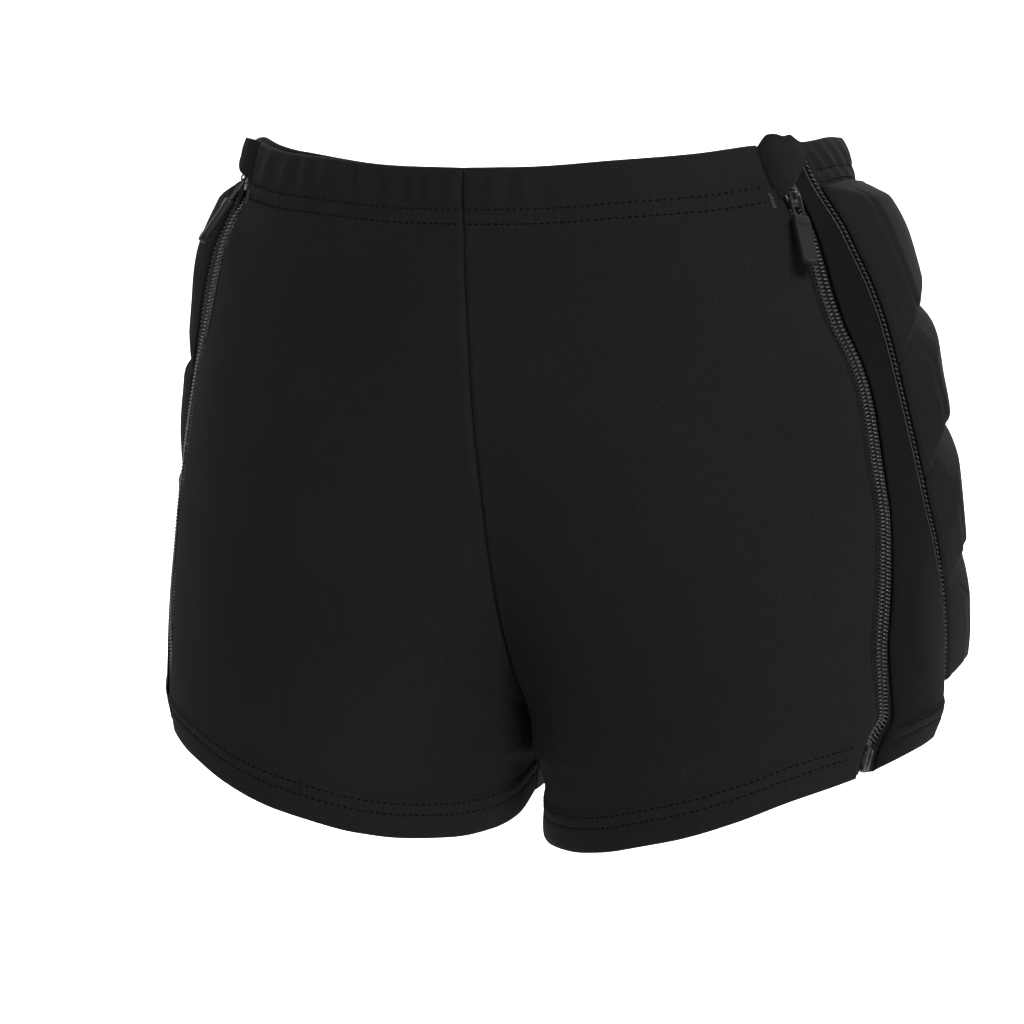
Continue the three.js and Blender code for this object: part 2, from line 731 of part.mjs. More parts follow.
// The moulded tab that grips the foot of the link.
function pullTab() {
  const half = tabWidth / 2;
  const top = linkWire / 2 - linkLength + tabGrip;
  const foot = top - tabLength;
  const outline = new THREE.Shape();
  outline.moveTo(-half * 0.75, top);
  outline.lineTo(-half, top - half * 0.6);
  outline.lineTo(-half, foot + half);
  outline.absarc(0, foot + half, half, Math.PI, 2 * Math.PI, false);
  outline.lineTo(half, top - half * 0.6);
  outline.lineTo(half * 0.75, top);
  const round = tabThickness / 4;
  const body = new THREE.ExtrudeGeometry(outline, {
    depth: tabThickness - 2 * round,
    bevelThickness: round,
    bevelSize: round,
    bevelOffset: -round,
    bevelSegments: 1,
    curveSegments: 8,
  });
  body.translate(0, 0, round - tabThickness / 2);
  const room = seamGap * 2;
  const slot = rectangle(linkWidth + room, tabGrip * 2, top - tabGrip - seamGap);
  return cut(body, slab(slot, linkWire + room, -(linkWire + room) / 2));
}

const zipBox = () => slab(rectangle(boxWidth, boxLength, 0), boxThickness, -boxThickness / 2);

// A group whose frame lies in the zip at a height, sunk with the coils below the middle of the cloth. Its y
// axis runs along the zip from low to high.
function zipFrame(side, z, low, high) {
  const pointAt = (height) => clothPoint(side, zipAround(height), height, -chainDepth);
  const up = pointAt(high).sub(pointAt(low)).normalize();
  const away = bodyNormal(zipAround(z), z);
  away.x *= side;
  away.addScaledVector(up, -away.dot(up)).normalize();
  const across = up.clone().cross(away);
  const frame = new THREE.Group();
  frame.position.copy(pointAt(z));
  frame.quaternion.setFromRotationMatrix(new THREE.Matrix4().makeBasis(across, up, away));
  return frame;
}

const clothFinish = new THREE.MeshStandardMaterial({ color: black.cloth, roughness: 0.85 });
const padFinish = new THREE.MeshStandardMaterial({ color: black.pad, roughness: 0.8 });
const tapeFinish = new THREE.MeshStandardMaterial({ color: black.tape, roughness: 0.95 });
const chainFinish = new THREE.MeshStandardMaterial({ color: black.chain, roughness: 0.4 });
const metalFinish = new THREE.MeshStandardMaterial({ color: black.metal, roughness: 0.3, metalness: 0.8 });
const rubberFinish = new THREE.MeshStandardMaterial({ color: black.rubber, roughness: 0.6 });

function piece(parent, name, geometry, finish) {
  const mesh = new THREE.Mesh(geometry, finish);
  mesh.name = name;
  parent.add(mesh);
}

const shorts = new THREE.Group();
for (const [name, side] of Object.entries(sides)) {
  piece(shorts, `front_panel_${name}`, frontPanel(side), clothFinish);
  piece(shorts, `side_panel_${name}`, sidePanel(side), clothFinish);
  piece(shorts, `back_panel_${name}`, backPanel(side), clothFinish);
  piece(shorts, `waistband_front_${name}`, frontBand(side, name), clothFinish);
  piece(shorts, `waistband_back_${name}`, backBand(side), clothFinish);
  padRows.forEach((row, index) => {
    piece(shorts, `hip_pad_${row.name}_${name}`, hipPad(side, index), padFinish);
  });
  piece(shorts, `zip_flap_${name}`, zipFlap(side), clothFinish);
  piece(shorts, `zip_tape_front_${name}`, zipTape(side, -1), tapeFinish);
  piece(shorts, `zip_tape_side_${name}`, zipTape(side, 1), tapeFinish);
  piece(shorts, `zip_chain_${name}`, zipChain(side), chainFinish);

  const box = zipFrame(side, boxFoot(side), boxFoot(side), chainFoot(side));
  piece(box, `zip_box_${name}`, zipBox(), metalFinish);
  const level = sliderHeight(side);
  const head = zipFrame(side, level, level - sliderLength / 2, level + sliderLength / 2);
  piece(head, `zip_slider_${name}`, slider(), metalFinish);
  const pull = new THREE.Group();
  pull.position.z = pinHeight;
  pull.rotation.set(-radians(pullPose[name].lift), 0, radians(pullPose[name].swing), "ZXY");
  piece(pull, `zip_link_${name}`, pullLink(), metalFinish);
  piece(pull, `zip_tab_${name}`, pullTab(), rubberFinish);
  head.add(pull);
  shorts.add(head, box);
}

export default shorts;
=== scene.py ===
import math

import bpy
import numpy as np
from mathutils import Euler, Matrix, Vector


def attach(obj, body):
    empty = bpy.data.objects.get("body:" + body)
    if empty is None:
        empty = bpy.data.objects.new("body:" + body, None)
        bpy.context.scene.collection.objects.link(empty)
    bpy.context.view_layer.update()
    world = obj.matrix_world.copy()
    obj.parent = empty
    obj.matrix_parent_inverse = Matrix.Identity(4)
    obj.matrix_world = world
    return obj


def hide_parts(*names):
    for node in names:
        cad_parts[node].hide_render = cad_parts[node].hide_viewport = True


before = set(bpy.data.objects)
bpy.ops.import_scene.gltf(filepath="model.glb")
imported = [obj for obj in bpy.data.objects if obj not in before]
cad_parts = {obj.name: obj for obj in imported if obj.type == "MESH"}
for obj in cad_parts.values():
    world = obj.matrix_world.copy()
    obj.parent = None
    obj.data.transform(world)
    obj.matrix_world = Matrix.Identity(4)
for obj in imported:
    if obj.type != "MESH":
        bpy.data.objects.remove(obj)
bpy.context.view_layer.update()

SIDES = {"left": 1, "right": -1}
MM = 0.001

# Sizes of the garment, as the solids have them
HIP_WIDTH = 356
HIP_DEPTH = 218
FRONT_RISE = 247
LEG_DROP = 36
LEG_GAP = 14
SIDE_LIFT = 22
RIM_LEAN = 6.5
HEM_LEAN = 5
HEM_SWEEP = 46
CROTCH_ARCH = 22
CLOTH = 1.6
CASING = 2.8
FRONT_CASING_HEIGHT = 24
BACK_CASING_HEIGHT = 18
HEM_BAND = 16
HEM_THICKNESS = 2.4
# Rows of stitching, by distance below the rim or above the hem
FRONT_ROWS = (17.5, 23.5)
BACK_ROWS = (12.5, 17.5)
HEM_ROWS = (14.6, 10)
STITCH_PITCH = 2.8
STITCH_LENGTH = {"waist": 1.7, "hem": 1.6}
SEAM_GAP = 0.3
CENTRE_GAP = 0.02
PAD_THICKNESS = 12
PAD_GROOVE = 1.6
PAD_GROOVE_LIFT = 44
PAD_REAR_SHARE = 10 / 14
CHAIN_WIDTH = 5.6
TAPE_THICKNESS = 0.8
TAPE_DEPTH = 2.1
CHAIN_DEPTH = 1.7
CHAIN_RISE = 2.0
COIL_PITCH = 1.6
TAPE_UNDERLAP = 3.2
FRONT_TAPE_SHOWN = 2.6
SIDE_TAPE_SHOWN = 1.8
SLIDER_WIDTH = 8.2
SLIDER_LENGTH = 10.5
SLIDER_PLATE = 1.1
SLIDER_DROP = {"left": 21.5, "right": 16.5}
PLATE_UNDER = 1.7
PLATE_TOP = 2.8
PIN_HEIGHT = 3.98
BRIDGE_TOP = 6.06
LINK_WIRE = 1.1
LINK_WIDTH = 5.8
LINK_LENGTH = 15
TAB_LENGTH = 23
TAB_WIDTH = 8
TAB_THICKNESS = 3.2
TAB_GRIP = 3
BOX_LENGTH = 11
BOX_WIDTH = 4.4
BOX_THICKNESS = 3.4
FLAP_WIDTH = 22.5
FLAP_START = 8.4
FLAP_LIFT = 4.8
FLAP_HEIGHT = {"left": 24, "right": 17}
FLAP_CROWN = {"left": 1, "right": 0.3}

# Body sections by level, which is 0 at the front rim, 1 at the crotch and 2 at the lowest hem
LEVELS = [-0.105, 0, 0.113, 0.243, 0.385, 0.555, 0.64, 0.729, 0.818, 0.87, 0.911, 0.951, 1, 2]
SECTION = {
    "width": [0.738, 0.785, 0.866, 0.91, 0.944, 0.978, 0.989, 1, 1.006, 1.006, 1, 0.978, 0.965, 0.935],
    "front": [0.427, 0.431, 0.429, 0.422, 0.417, 0.413, 0.413, 0.413, 0.408, 0.406, 0.404, 0.404, 0.404, 0.404],
    "back": [0.427, 0.463, 0.505, 0.541, 0.569, 0.587, 0.587, 0.583, 0.564, 0.546, 0.528, 0.5, 0.468, 0.44],
    "front pinch": [0, 0, 0, 0.01, 0.05, 0.17, 0.24, 0.345, 0.5, 0.63, 0.76, 0.88, 1, 1],
    "back pinch": [0, 0, 0, 0, 0, 0.02, 0.06, 0.14, 0.28, 0.42, 0.57, 0.77, 1, 1],
}
# Lines on the garment as (place, value) lists. A place is a share of the way round from the centre front to
# the centre back, or a level.
RIM = (
    [0, 0.06, 0.15, 0.22, 0.3, 0.37, 0.46, 0.56, 0.72, 1],
    [0, 0.03, 0.2, 0.36, 0.62, 0.78, 0.98, 0.96, 0.82, 0.64],
)
LEAN = ([0.3, 0.4, 0.56, 1], [1, 1, 0.5, 0.5])
HEM = (
    [0, 0.03, 0.06, 0.1, 0.14, 0.18, 0.22, 0.26, 0.3, 0.34, 0.39, 0.46, 0.52, 0.62, 0.8, 1],
    [0.33, 0.13, 0.045, 0, 0.01, 0.065, 0.175, 0.3, 0.455, 0.63, 0.8, 1.02, 1.12, 1.04, 0.6, 0.33],
)
ZIP = (
    [-0.1, 0.09, 0.19, 0.26, 0.33, 0.39, 0.5, 0.6, 0.78, 0.87, 0.93, 1.2],
    [0.327, 0.325, 0.329, 0.338, 0.358, 0.368, 0.374, 0.381, 0.379, 0.392, 0.405, 0.407],
)
HIP_SEAM = (
    [-0.1, 0.03, 0.12, 0.2, 0.25, 0.4, 0.56, 0.64, 0.75, 0.85, 0.98, 1.2],
    [0.368, 0.371, 0.384, 0.406, 0.418, 0.441, 0.468, 0.492, 0.514, 0.532, 0.542, 0.545],
)
# Height of the crease across the top of the right leg
CREASE = (
    [0, 0.007, 0.025, 0.044, 0.054, 0.062, 0.069, 0.09],
    [-227, -226, -224.6, -221.7, -217.9, -212.4, -203.5, -182],
)
# Each pad's lower edge at the hip seam by level, and its share of the groove's climb
PADS = {"upper": (0.33, 1), "middle": (0.522, 1), "lower": (0.714, 1), "bottom": (0.87, 0.1)}
GROOVE_CLIMB = ([0, 0.16, 0.35, 0.6, 1], [0, 0.42, 0.8, 1, 0.9])
FULLNESS_AT = [0, 0.16, 0.42, 0.75, 1]
FULLNESS = {
    "upper": [0.85, 0.85, 0.52, 0.5, 0.5],
    "middle": [0.9, 0.92, 0.7, 0.68, 0.68],
    "lower": [0.9, 0.95, 0.82, 0.82, 0.82],
    "bottom": [0.95, 1, 1.15, 1, 1],
}
FLAP_AT = [0, 0.16, 0.3, 0.45, 0.6, 0.76, 0.9, 1]
FLAP = {
    "top": [0.02, -0.13, -0.12, -0.065, -0.085, 0, 0.05, 0.11],
    "bottom": [1, 0.9, 0.82, 0.72, 0.6, 0.49, 0.37, 0.24],
    "lift": [0, 0.75, 1, 1, 1, 0.92, 0.75, 0.7],
}
PULL_POSE = {"left": (7, -22), "right": (20, 4)}
# Gathers of the front band: share of the band from the centre seam, width, height, and lean towards the seam
GATHERS = {
    "left": [
        (0.04, 0.02, 0.7, 0.02), (0.115, 0.026, 1.0, 0.04), (0.2, 0.022, 0.5, 0.02), (0.5, 0.05, 0.25, 0.0),
        (0.72, 0.04, 0.3, 0.0), (0.95, 0.03, 0.8, 0.0),
    ],
    "right": [
        (0.042, 0.018, 0.6, 0.0), (0.109, 0.02, 0.8, 0.012), (0.167, 0.02, 0.8, 0.01), (0.238, 0.024, 0.9, 0.0),
        (0.344, 0.026, 1.1, 0.016), (0.424, 0.024, 0.9, 0.004), (0.53, 0.03, 1.1, 0.057),
        (0.611, 0.026, 1.1, 0.026), (0.714, 0.028, 0.8, 0.0), (0.85, 0.034, 0.9, -0.006),
    ],
}
# Distances of the panels' finest rows from the rim and from the hem
TOP_FINE = np.concatenate([[0, 0.2, 0.55, 1.05, 1.7, 2.5], np.arange(3.5, 50, 1.1)])
HEM_FINE = np.concatenate([np.arange(21.4, 2.6, -0.9), [2.4, 1.6, 0.9, 0.4, 0.1, 0]])


# Small sums
def side_word(side):
    return "left" if side > 0 else "right"


def read(curve, place):
    """Smooth value of a curve at a place. It never overshoots the curve's points."""
    xs, ys = (np.asarray(part, float) for part in curve)
    steps = np.diff(ys) / np.diff(xs)
    slopes = np.concatenate([steps[:1], steps[1:], steps[-1:]])
    before, after = steps[:-1], steps[1:]
    both = np.where(np.abs(before + after) < 1e-12, 1, before + after)
    slopes[1:-1] = np.where(before * after > 0, 2 * before * after / both, 0)
    place = np.clip(place, xs[0], xs[-1])
    row = np.clip(np.searchsorted(xs, place, side="right") - 1, 0, len(xs) - 2)
    length = xs[row + 1] - xs[row]
    t = (place - xs[row]) / length
    return (
        (2 * t**3 - 3 * t**2 + 1) * ys[row]
        + (t**3 - 2 * t**2 + t) * length * slopes[row]
        + (3 * t**2 - 2 * t**3) * ys[row + 1]
        + (t**3 - t**2) * length * slopes[row + 1]
    )


def at_level_zero(curve):
    """A curve's place level with the front of the rim, as a plain number."""
    return float(read(curve, 0.0))


def mix(a, b, share):
    return a + (b - a) * share


def smooth(value, low, high):
    """0 up to low, 1 from high on, and eased between them."""
    share = np.clip((value - low) / (high - low), 0, 1)
    return share * share * (3 - 2 * share)


def ridge(distance, width):
    return np.exp(-((distance / width) ** 2))


def rounded(distance, radius, least=0.02):
    """Share of the full height at a distance from a rounded edge."""
    share = np.clip(distance / radius, 0, 1)
    return np.sqrt(np.clip(1 - (1 - share) ** 2, least, 1))


def soft_min(values, softness):
    """The lowest of several grids, with the creases between them softened."""
    total = sum(np.exp(-value / softness) for value in values)
    return -softness * np.log(total)


def uneven(x, y, pitch, seed):
    """A soft unevenness from about -1 to 1 with no repeat in sight."""
    total = 0
    for turn in range(5):
        angle = seed * 1.7 + turn * 2.4
        size = pitch * (0.7 + 0.31 * turn)
        total = total + np.sin((x * math.cos(angle) + y * math.sin(angle)) * 2 * math.pi / size + seed * turn)
    return total / 3


def unit(vectors):
    return vectors / np.maximum(np.linalg.norm(vectors, axis=-1, keepdims=True), 1e-9)


def square_to(direction, vectors):
    """Unit vectors square to a direction, as near to the given ones as can be."""
    return unit(vectors - direction * np.sum(vectors * direction, axis=-1, keepdims=True))


# The garment's surface
def level_of(z):
    return np.where(z > -FRONT_RISE, -z / FRONT_RISE, 1 - (z + FRONT_RISE) / LEG_DROP)


def height_of(level):
    return -level * FRONT_RISE


def rim_height(around, side):
    return read(RIM, around) * SIDE_LIFT - side * RIM_LEAN * np.sin(np.pi * around) * read(LEAN, around)


def hem_height(around, side):
    rise = read(HEM, around) * HEM_SWEEP
    return -FRONT_RISE - LEG_DROP + rise - side * HEM_LEAN * np.sin(np.pi * around) ** 2


def from_edges(side, around, z):
    """Distances below the rim and above the hem."""
    return rim_height(around, side) - z, z - hem_height(around, side)


def zip_around(z):
    return read(ZIP, -z / FRONT_RISE)


def seam_around(z):
    return read(HIP_SEAM, -z / FRONT_RISE)


def body_point(around, z):
    """The middle of the cloth on the wearer's left, blended from the body's section to the leg's."""
    around, z = np.broadcast_arrays(np.asarray(around, float), np.asarray(z, float))
    level = level_of(z)
    value = {name: read((LEVELS, column), level) for name, column in SECTION.items()}
    half_width = value["width"] * HIP_WIDTH / 2
    front = value["front"] * HIP_DEPTH
    back = value["back"] * HIP_DEPTH
    turn = np.pi * around
    square = 1 + 0.03 * np.sin(2 * turn) ** 2
    hip_flat = 1 - 0.1 * np.maximum(0, -np.cos(turn))
    body_x = half_width * np.sin(turn) * square * hip_flat
    body_y = -np.where(np.cos(turn) > 0, front, back) * np.cos(turn) * square
    leg_x = 0.515 * HIP_WIDTH / 2
    leg_turn = 2 * turn - np.pi / 2
    thigh_flat = 1 - 0.3 * np.maximum(0, -np.cos(leg_turn))
    open_share = np.clip((-FRONT_RISE - z) / CROTCH_ARCH, 0, 1)
    half_gap = LEG_GAP / 2 * np.sqrt(1 - (1 - open_share) ** 2)
    leg_across = np.where(np.sin(leg_turn) > 0, (half_width - leg_x) * thigh_flat, leg_x - half_gap)
    leg_depth = np.where(np.cos(leg_turn) > 0, front + 2, back * 0.93 - 2)
    pinch = mix(value["front pinch"], value["back pinch"], (1 - np.cos(turn)) / 2)
    return np.stack(
        [
            mix(body_x, leg_x + leg_across * np.sin(leg_turn), pinch),
            mix(body_y, 2 - leg_depth * np.cos(leg_turn), pinch),
            z,
        ],
        axis=-1,
    )


def body_normal(around, z):
    """Outward direction on the wearer's left. On the centre seams it has no sideways part."""
    small = 0.002
    around, z = np.broadcast_arrays(np.asarray(around, float), np.asarray(z, float))
    low, high = np.clip(around - small, 0, 1), np.clip(around + small, 0, 1)
    across = body_point(high, z) - body_point(low, z)
    down = body_point(around, z - 0.5) - body_point(around, z + 0.5)
    normal = np.cross(down, across)
    on_seam = ((around < small) | (around > 1 - small)) & (z > -FRONT_RISE)
    normal[..., 0] = np.where(on_seam, 0, normal[..., 0])
    return unit(normal)


def pace(around, z):
    """Millimetres of cloth per share of the way round."""
    small = 0.002
    apart = body_point(around + small, z) - body_point(around - small, z)
    return np.linalg.norm(apart, axis=-1) / (2 * small)


def shifted(around, z, length):
    return around + length / pace(around, z)


def cloth_point(side, around, z, offset):
    """A point off the cloth, on the wearer's left for side 1 and mirrored for side -1."""
    point = body_point(around, z) + body_normal(around, z) * np.asarray(offset, float)[..., None]
    point[..., 0] = np.maximum(point[..., 0], CENTRE_GAP) * side
    return point


HEIGHTS = np.linspace(-300, 45, 1400)


def edge_line(place):
    """A line down the body, worked out once and read between its points from then on."""
    values = place(HEIGHTS)
    return lambda z: np.interp(z, HEIGHTS, values)


def at_zip(length):
    return edge_line(lambda z: shifted(zip_around(z), z, length))


def at_seam(length):
    return edge_line(lambda z: shifted(seam_around(z), z, length))


def crossing(left_edge, right_edge, shares, heights):
    """Where the columns between two edges cross the rows. heights(around) gives the rows' z."""
    around = np.full((len(heights(0.4)), len(shares)), 0.4)
    z = heights(around)
    for _ in range(8):
        around = mix(left_edge(z), right_edge(z), shares[None, :])
        z = heights(around)
    return around, z


# Meshes
def new_piece(name, points, faces, material, slot, body="shorts"):
    """A smooth mesh object from points in millimetres, which rides a body. The slot is not used."""
    mesh = bpy.data.meshes.new(name)
    mesh.from_pydata((np.asarray(points, float) * MM).tolist(), [], faces)
    mesh.materials.append(material)
    mesh.polygons.foreach_set("use_smooth", [True] * len(mesh.polygons))
    mesh.update()
    piece = bpy.data.objects.new(name, mesh)
    bpy.context.scene.collection.objects.link(piece)
    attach(piece, body)
    return piece


def grid_faces(rows, columns, start=0, flip=False):
    """Quads of a grid of points. Outward is towards the side that row 0 to column 0 turns from."""
    r, c = np.meshgrid(np.arange(rows - 1), np.arange(columns - 1), indexing="ij")
    a = start + r * columns + c
    quads = np.stack([a, a + columns, a + columns + 1, a + 1], axis=-1).reshape(-1, 4)
    return quads[:, ::-1] if flip else quads


def closed_sheet(outer, inner, side):
    """Points and faces of a closed sheet between two grids of the same size."""
    rows, columns = outer.shape[:2]
    count = rows * columns
    points = np.concatenate([outer.reshape(-1, 3), inner.reshape(-1, 3)])
    at = np.arange(count).reshape(rows, columns)
    faces = [grid_faces(rows, columns), grid_faces(rows, columns, count, flip=True)]
    for line, flip in ((at[:, 0], True), (at[:, -1], False), (at[0], False), (at[-1], True)):
        quads = np.stack([line[:-1], line[1:], line[1:] + count, line[:-1] + count], axis=-1)
        faces.append(quads[:, ::-1] if flip else quads)
    faces = np.concatenate(faces)
    return points, (faces if side > 0 else faces[:, ::-1]).tolist()


def sheet_piece(name, side, around, z, outer, inner, material, slot):
    """A closed piece of cloth over a grid of places, with its run and drop in millimetres as a UV map."""
    outside = cloth_point(side, around, z, outer)
    inside = cloth_point(side, around, z, inner)
    points, faces = closed_sheet(outside, inside, side)
    piece = new_piece(name, points, faces, material, slot)
    run = np.cumsum(np.linalg.norm(np.diff(outside, axis=1, prepend=outside[:, :1]), axis=-1), axis=1)
    middle = run.shape[1] // 2
    run = run - run[:, middle : middle + 1] + run[run.shape[0] // 2, middle]
    flat_place = np.stack([run, z], axis=-1).reshape(-1, 2)
    flat_place = np.concatenate([flat_place, flat_place])
    corners = np.empty(len(piece.data.loops), int)
    piece.data.loops.foreach_get("vertex_index", corners)
    layer = piece.data.uv_layers.new(name="cloth")
    layer.data.foreach_set("uv", flat_place[corners].ravel())
    return piece


def graded(length, pitch, edges=(0.25, 0.7, 1.4, 2.4)):
    """Shares from 0 to 1 at an even pitch, with finer steps at both ends."""
    inner = np.linspace(edges[-1], length - edges[-1], max(2, round((length - 2 * edges[-1]) / pitch) + 1))
    steps = np.concatenate([[0], edges[:-1], inner, length - np.array(edges[:-1])[::-1], [length]])
    return steps / length


def widened(around, rows):
    """The ways round as a full grid of a number of rows."""
    return np.broadcast_to(around, (rows, np.shape(around)[-1] if np.ndim(around) else 1))


def panel_heights(side, middle_count):
    """Row heights down a panel: fixed distances below the rim, even shares, then distances above the hem."""
    shares = np.linspace(0, 1, middle_count + 2)[1:-1, None]
    first, second = len(TOP_FINE), len(TOP_FINE) + middle_count

    def heights(around):
        around = widened(around, second + len(HEM_FINE))
        rim, hem = rim_height(around, side), hem_height(around, side)
        top = rim[first:second] - TOP_FINE[-1]
        low = hem[first:second] + HEM_FINE[0]
        return np.concatenate([
            rim[:first] - TOP_FINE[:, None],
            mix(top, low, shares),
            hem[second:] + HEM_FINE[:, None],
        ])

    return heights


# Relief of the cloth, as the distance of the outer face from the middle of the cloth
def front_edge(z, side):
    """The front panel's edge beside the zip. It stands back behind the flap, and runs along the tape below."""
    below = rim_height(zip_around(z), side) - z
    room = mix(FLAP_START, CHAIN_WIDTH / 2 + FRONT_TAPE_SHOWN, smooth(below, 17, 25))
    return shifted(zip_around(z), z, -room)


def hem_relief(above):
    band = (HEM_THICKNESS - CLOTH) * smooth(-above, -HEM_BAND - 0.9, -HEM_BAND + 0.5)
    fold = 0.25 * ridge(above - HEM_BAND + 1.6, 1.1)
    rows = sum(-0.4 * ridge(above - row, 0.7) for row in HEM_ROWS)
    roll = 0.35 * ridge(above - 4, 4.5)
    return band + fold + rows + roll


def casing_relief(below, rows, height):
    casing = (CASING - CLOTH) / 2 * (1 - smooth(below, height - 1, height + 1.5))
    bulge = 0.45 * np.sin(np.pi * np.clip(below / rows[0], 0, 1))
    grooves = sum(-0.5 * ridge(below - row, 0.8) for row in rows)
    return casing + bulge + grooves


def centre_seam(run, z):
    """The sunk centre seam and the ridges beside it, which end at the crotch."""
    return (-0.75 * ridge(run, 1.0) + 0.35 * ridge(run - 2.6, 1.5)) * above_crotch(z)


def above_crotch(z):
    return smooth(z, -262, -238)


def band_gathers(side, share, below):
    """The gathers of the front band and the dents beside them, which run out just under its stitching."""
    reach = mix(0.3, 1, smooth(below, 0, 8)) * (1 - 0.8 * smooth(below, 13, 18)) * (1 - smooth(below, 18, 32))
    total = 0
    for at, width, height, lean in GATHERS[side_word(side)]:
        apart = share - at + lean * below / 20
        spread = 1.4 * width * (0.75 + 0.02 * below)
        fold = ridge(apart, spread) - 0.3 * ridge(apart - 1.5 * spread, spread)
        total = total + 1.6 * height * reach * fold
    return total


def front_relief(side, around, z):
    below, above = from_edges(side, around, z)
    run = around * pace(around / 2, z)
    share = around / at_zip(-FLAP_START)(z)
    offset = CLOTH / 2 + casing_relief(below, FRONT_ROWS, FRONT_CASING_HEIGHT) + hem_relief(above)
    offset = offset + band_gathers(side, share, below)
    pucker = np.sin(run * 2 * np.pi / 5.3 + 1.3 * np.sin(run / 9)) * ridge(below - 20.5, 5.5)
    offset = offset + 0.16 * pucker * (1 if side < 0 else 0.6)
    offset = offset + 0.14 * np.sin(run * 2 * np.pi / 6.1) * ridge(above - 12.5, 3.5)
    ticks = 0.12 * np.sin(z * 2 * np.pi / 5.2 + 1.1 * np.sin(z / 11)) * ridge(run - 2.4, 3)
    offset = offset + centre_seam(run, z) + ticks * above_crotch(z)
    offset = offset + 0.45 * uneven(run, z, 62, 1.0 + side) * smooth(below, 20, 60) * smooth(above, 10, 40)
    if side < 0:
        offset = offset + leg_crease(around, z)
    fold = smooth(around, 0.0, 0.02) * (1 - smooth(around, 0.09, 0.2))
    drag = np.sin((z + 0.55 * run) * 2 * np.pi / 17) * fold * ridge(z + 236, 20)
    return offset + 0.3 * drag


def leg_crease(around, z):
    """The soft crease that runs into the crotch across the top of the right leg."""
    crease = np.interp(around, *CREASE)
    fade = smooth(0.1 - around, 0.0, 0.045)
    over, under = 0.9 * ridge(z - crease - 5, 4.2), 0.35 * ridge(z - crease + 7, 4)
    return fade * (over - 0.9 * ridge(z - crease, 2.6) + under)


def side_relief(side, around, z):
    below, above = from_edges(side, around, z)
    run = (around - zip_around(z)) * pace(around, z)
    offset = CLOTH / 2 + hem_relief(above)
    return offset + 0.25 * uneven(run, z, 40, 3 + side) * smooth(below, 8, 30)


def back_relief(side, around, z):
    below, above = from_edges(side, around, z)
    start = seam_around(z)
    share = (around - start) / (1 - start)
    run = (1 - around) * pace((around + 1) / 2, z)
    offset = CLOTH / 2 + casing_relief(below, BACK_ROWS, BACK_CASING_HEIGHT) + hem_relief(above)
    reach = mix(0.35, 1, smooth(below, 0, 7)) * (1 - 0.5 * smooth(below, 11, 18)) * (1 - smooth(below, 17, 30))
    folds = 21
    lean = share * folds - below * 0.075
    wave = np.sin(2 * np.pi * (lean + 0.16 * np.sin(2 * np.pi * share * 3.3)))
    offset = offset + 0.85 * reach * (0.5 + 0.5 * wave) ** 1.4
    offset = offset + centre_seam(run, z)
    gap = smooth(share, 0.74, 0.8)
    return offset + 0.5 * gap * uneven(run, z, 55, 5 + side) * smooth(below, 20, 60) * smooth(above, 10, 40)


def edges_round(shares, length, radius):
    """Thickness share across a panel of a length, whose two edges are rounded."""
    return np.minimum(rounded(shares * length, radius), rounded((1 - shares) * length, radius))


def panel(name, side, left_edge, right_edge, length, pitch, relief, material, middle_count):
    """A cloth panel from the rim to the hem with rounded edges all round."""
    shares = graded(length, pitch)
    around, z = crossing(left_edge, right_edge, shares, panel_heights(side, middle_count))
    below, above = from_edges(side, around, z)
    outer = relief(side, around, z)
    inner = np.full_like(outer, -CLOTH / 2)
    round_off = np.minimum(edges_round(shares, length, 1.0)[None, :], rounded(below, 1.5))
    round_off = np.minimum(round_off, rounded(above, 1.2))
    middle = (outer + inner) / 2
    outer, inner = mix(middle, outer, round_off), mix(middle, inner, round_off)
    return sheet_piece(name, side, around, z, outer, inner, material, "stretch_cloth")


# Hip pads
def pad_edges(side, index):
    """The top edge, the low edge and the name of a pad. The edges are heights by place and share across it."""
    names = list(PADS)

    def edge_at(row, across):
        lower, climb = PADS[names[row]]
        return height_of(lower) + read(GROOVE_CLIMB, across) * PAD_GROOVE_LIFT * climb

    def top_edge(around, across):
        if index == 0:
            return rim_height(around, side) - BACK_CASING_HEIGHT - PAD_GROOVE
        return edge_at(index - 1, across) - PAD_GROOVE / 2

    def low_edge(across):
        return edge_at(index, across) + (PAD_GROOVE / 2 if index < len(names) - 1 else 0)

    return top_edge, low_edge, names[index]


def pad_rear(z):
    return mix(seam_around(z), 1, PAD_REAR_SHARE)


def pad_face(pad_name, index, around, z, across, down, height):
    """How far a pad's face stands off its base: bevels, a crowned middle, a sunk rim and a crease."""
    front = at_seam(PAD_GROOVE)
    cloth_pace = pace(around, z)
    to_front = (around - front(z)) * cloth_pace
    to_rear = (pad_rear(z) - around) * cloth_pace
    to_top, to_foot = down * height, (1 - down) * height
    full = PAD_THICKNESS * read((FULLNESS_AT, FULLNESS[pad_name]), across)
    ramps = [to_front / 13.5, to_rear / 22, to_top / 11.5, to_foot / 9]
    lift = soft_min([*[np.clip(ramp, 0, 2) for ramp in ramps], np.ones_like(z)], 0.045)
    lift = np.clip(lift, 0, 1.2)
    crown = np.sin(np.pi * np.clip(across, 0, 1)) * np.sin(np.pi * down)
    rim = 1.7
    face = mix(rim, full, lift) + 0.7 * crown
    face = face + 0.3 * uneven(around * 300, z, 34, 2 + index) * np.clip(lift, 0, 1)
    near = np.minimum(np.minimum(to_front, to_rear), np.minimum(to_top, to_foot))
    face = face * mix(0.12, 1, rounded(near, 1.6))
    face = face - 0.35 * ridge(near - 2.4, 0.8)
    return face - 1.1 * ridge(to_front - 13, 1.2) * smooth(near, 3, 8)


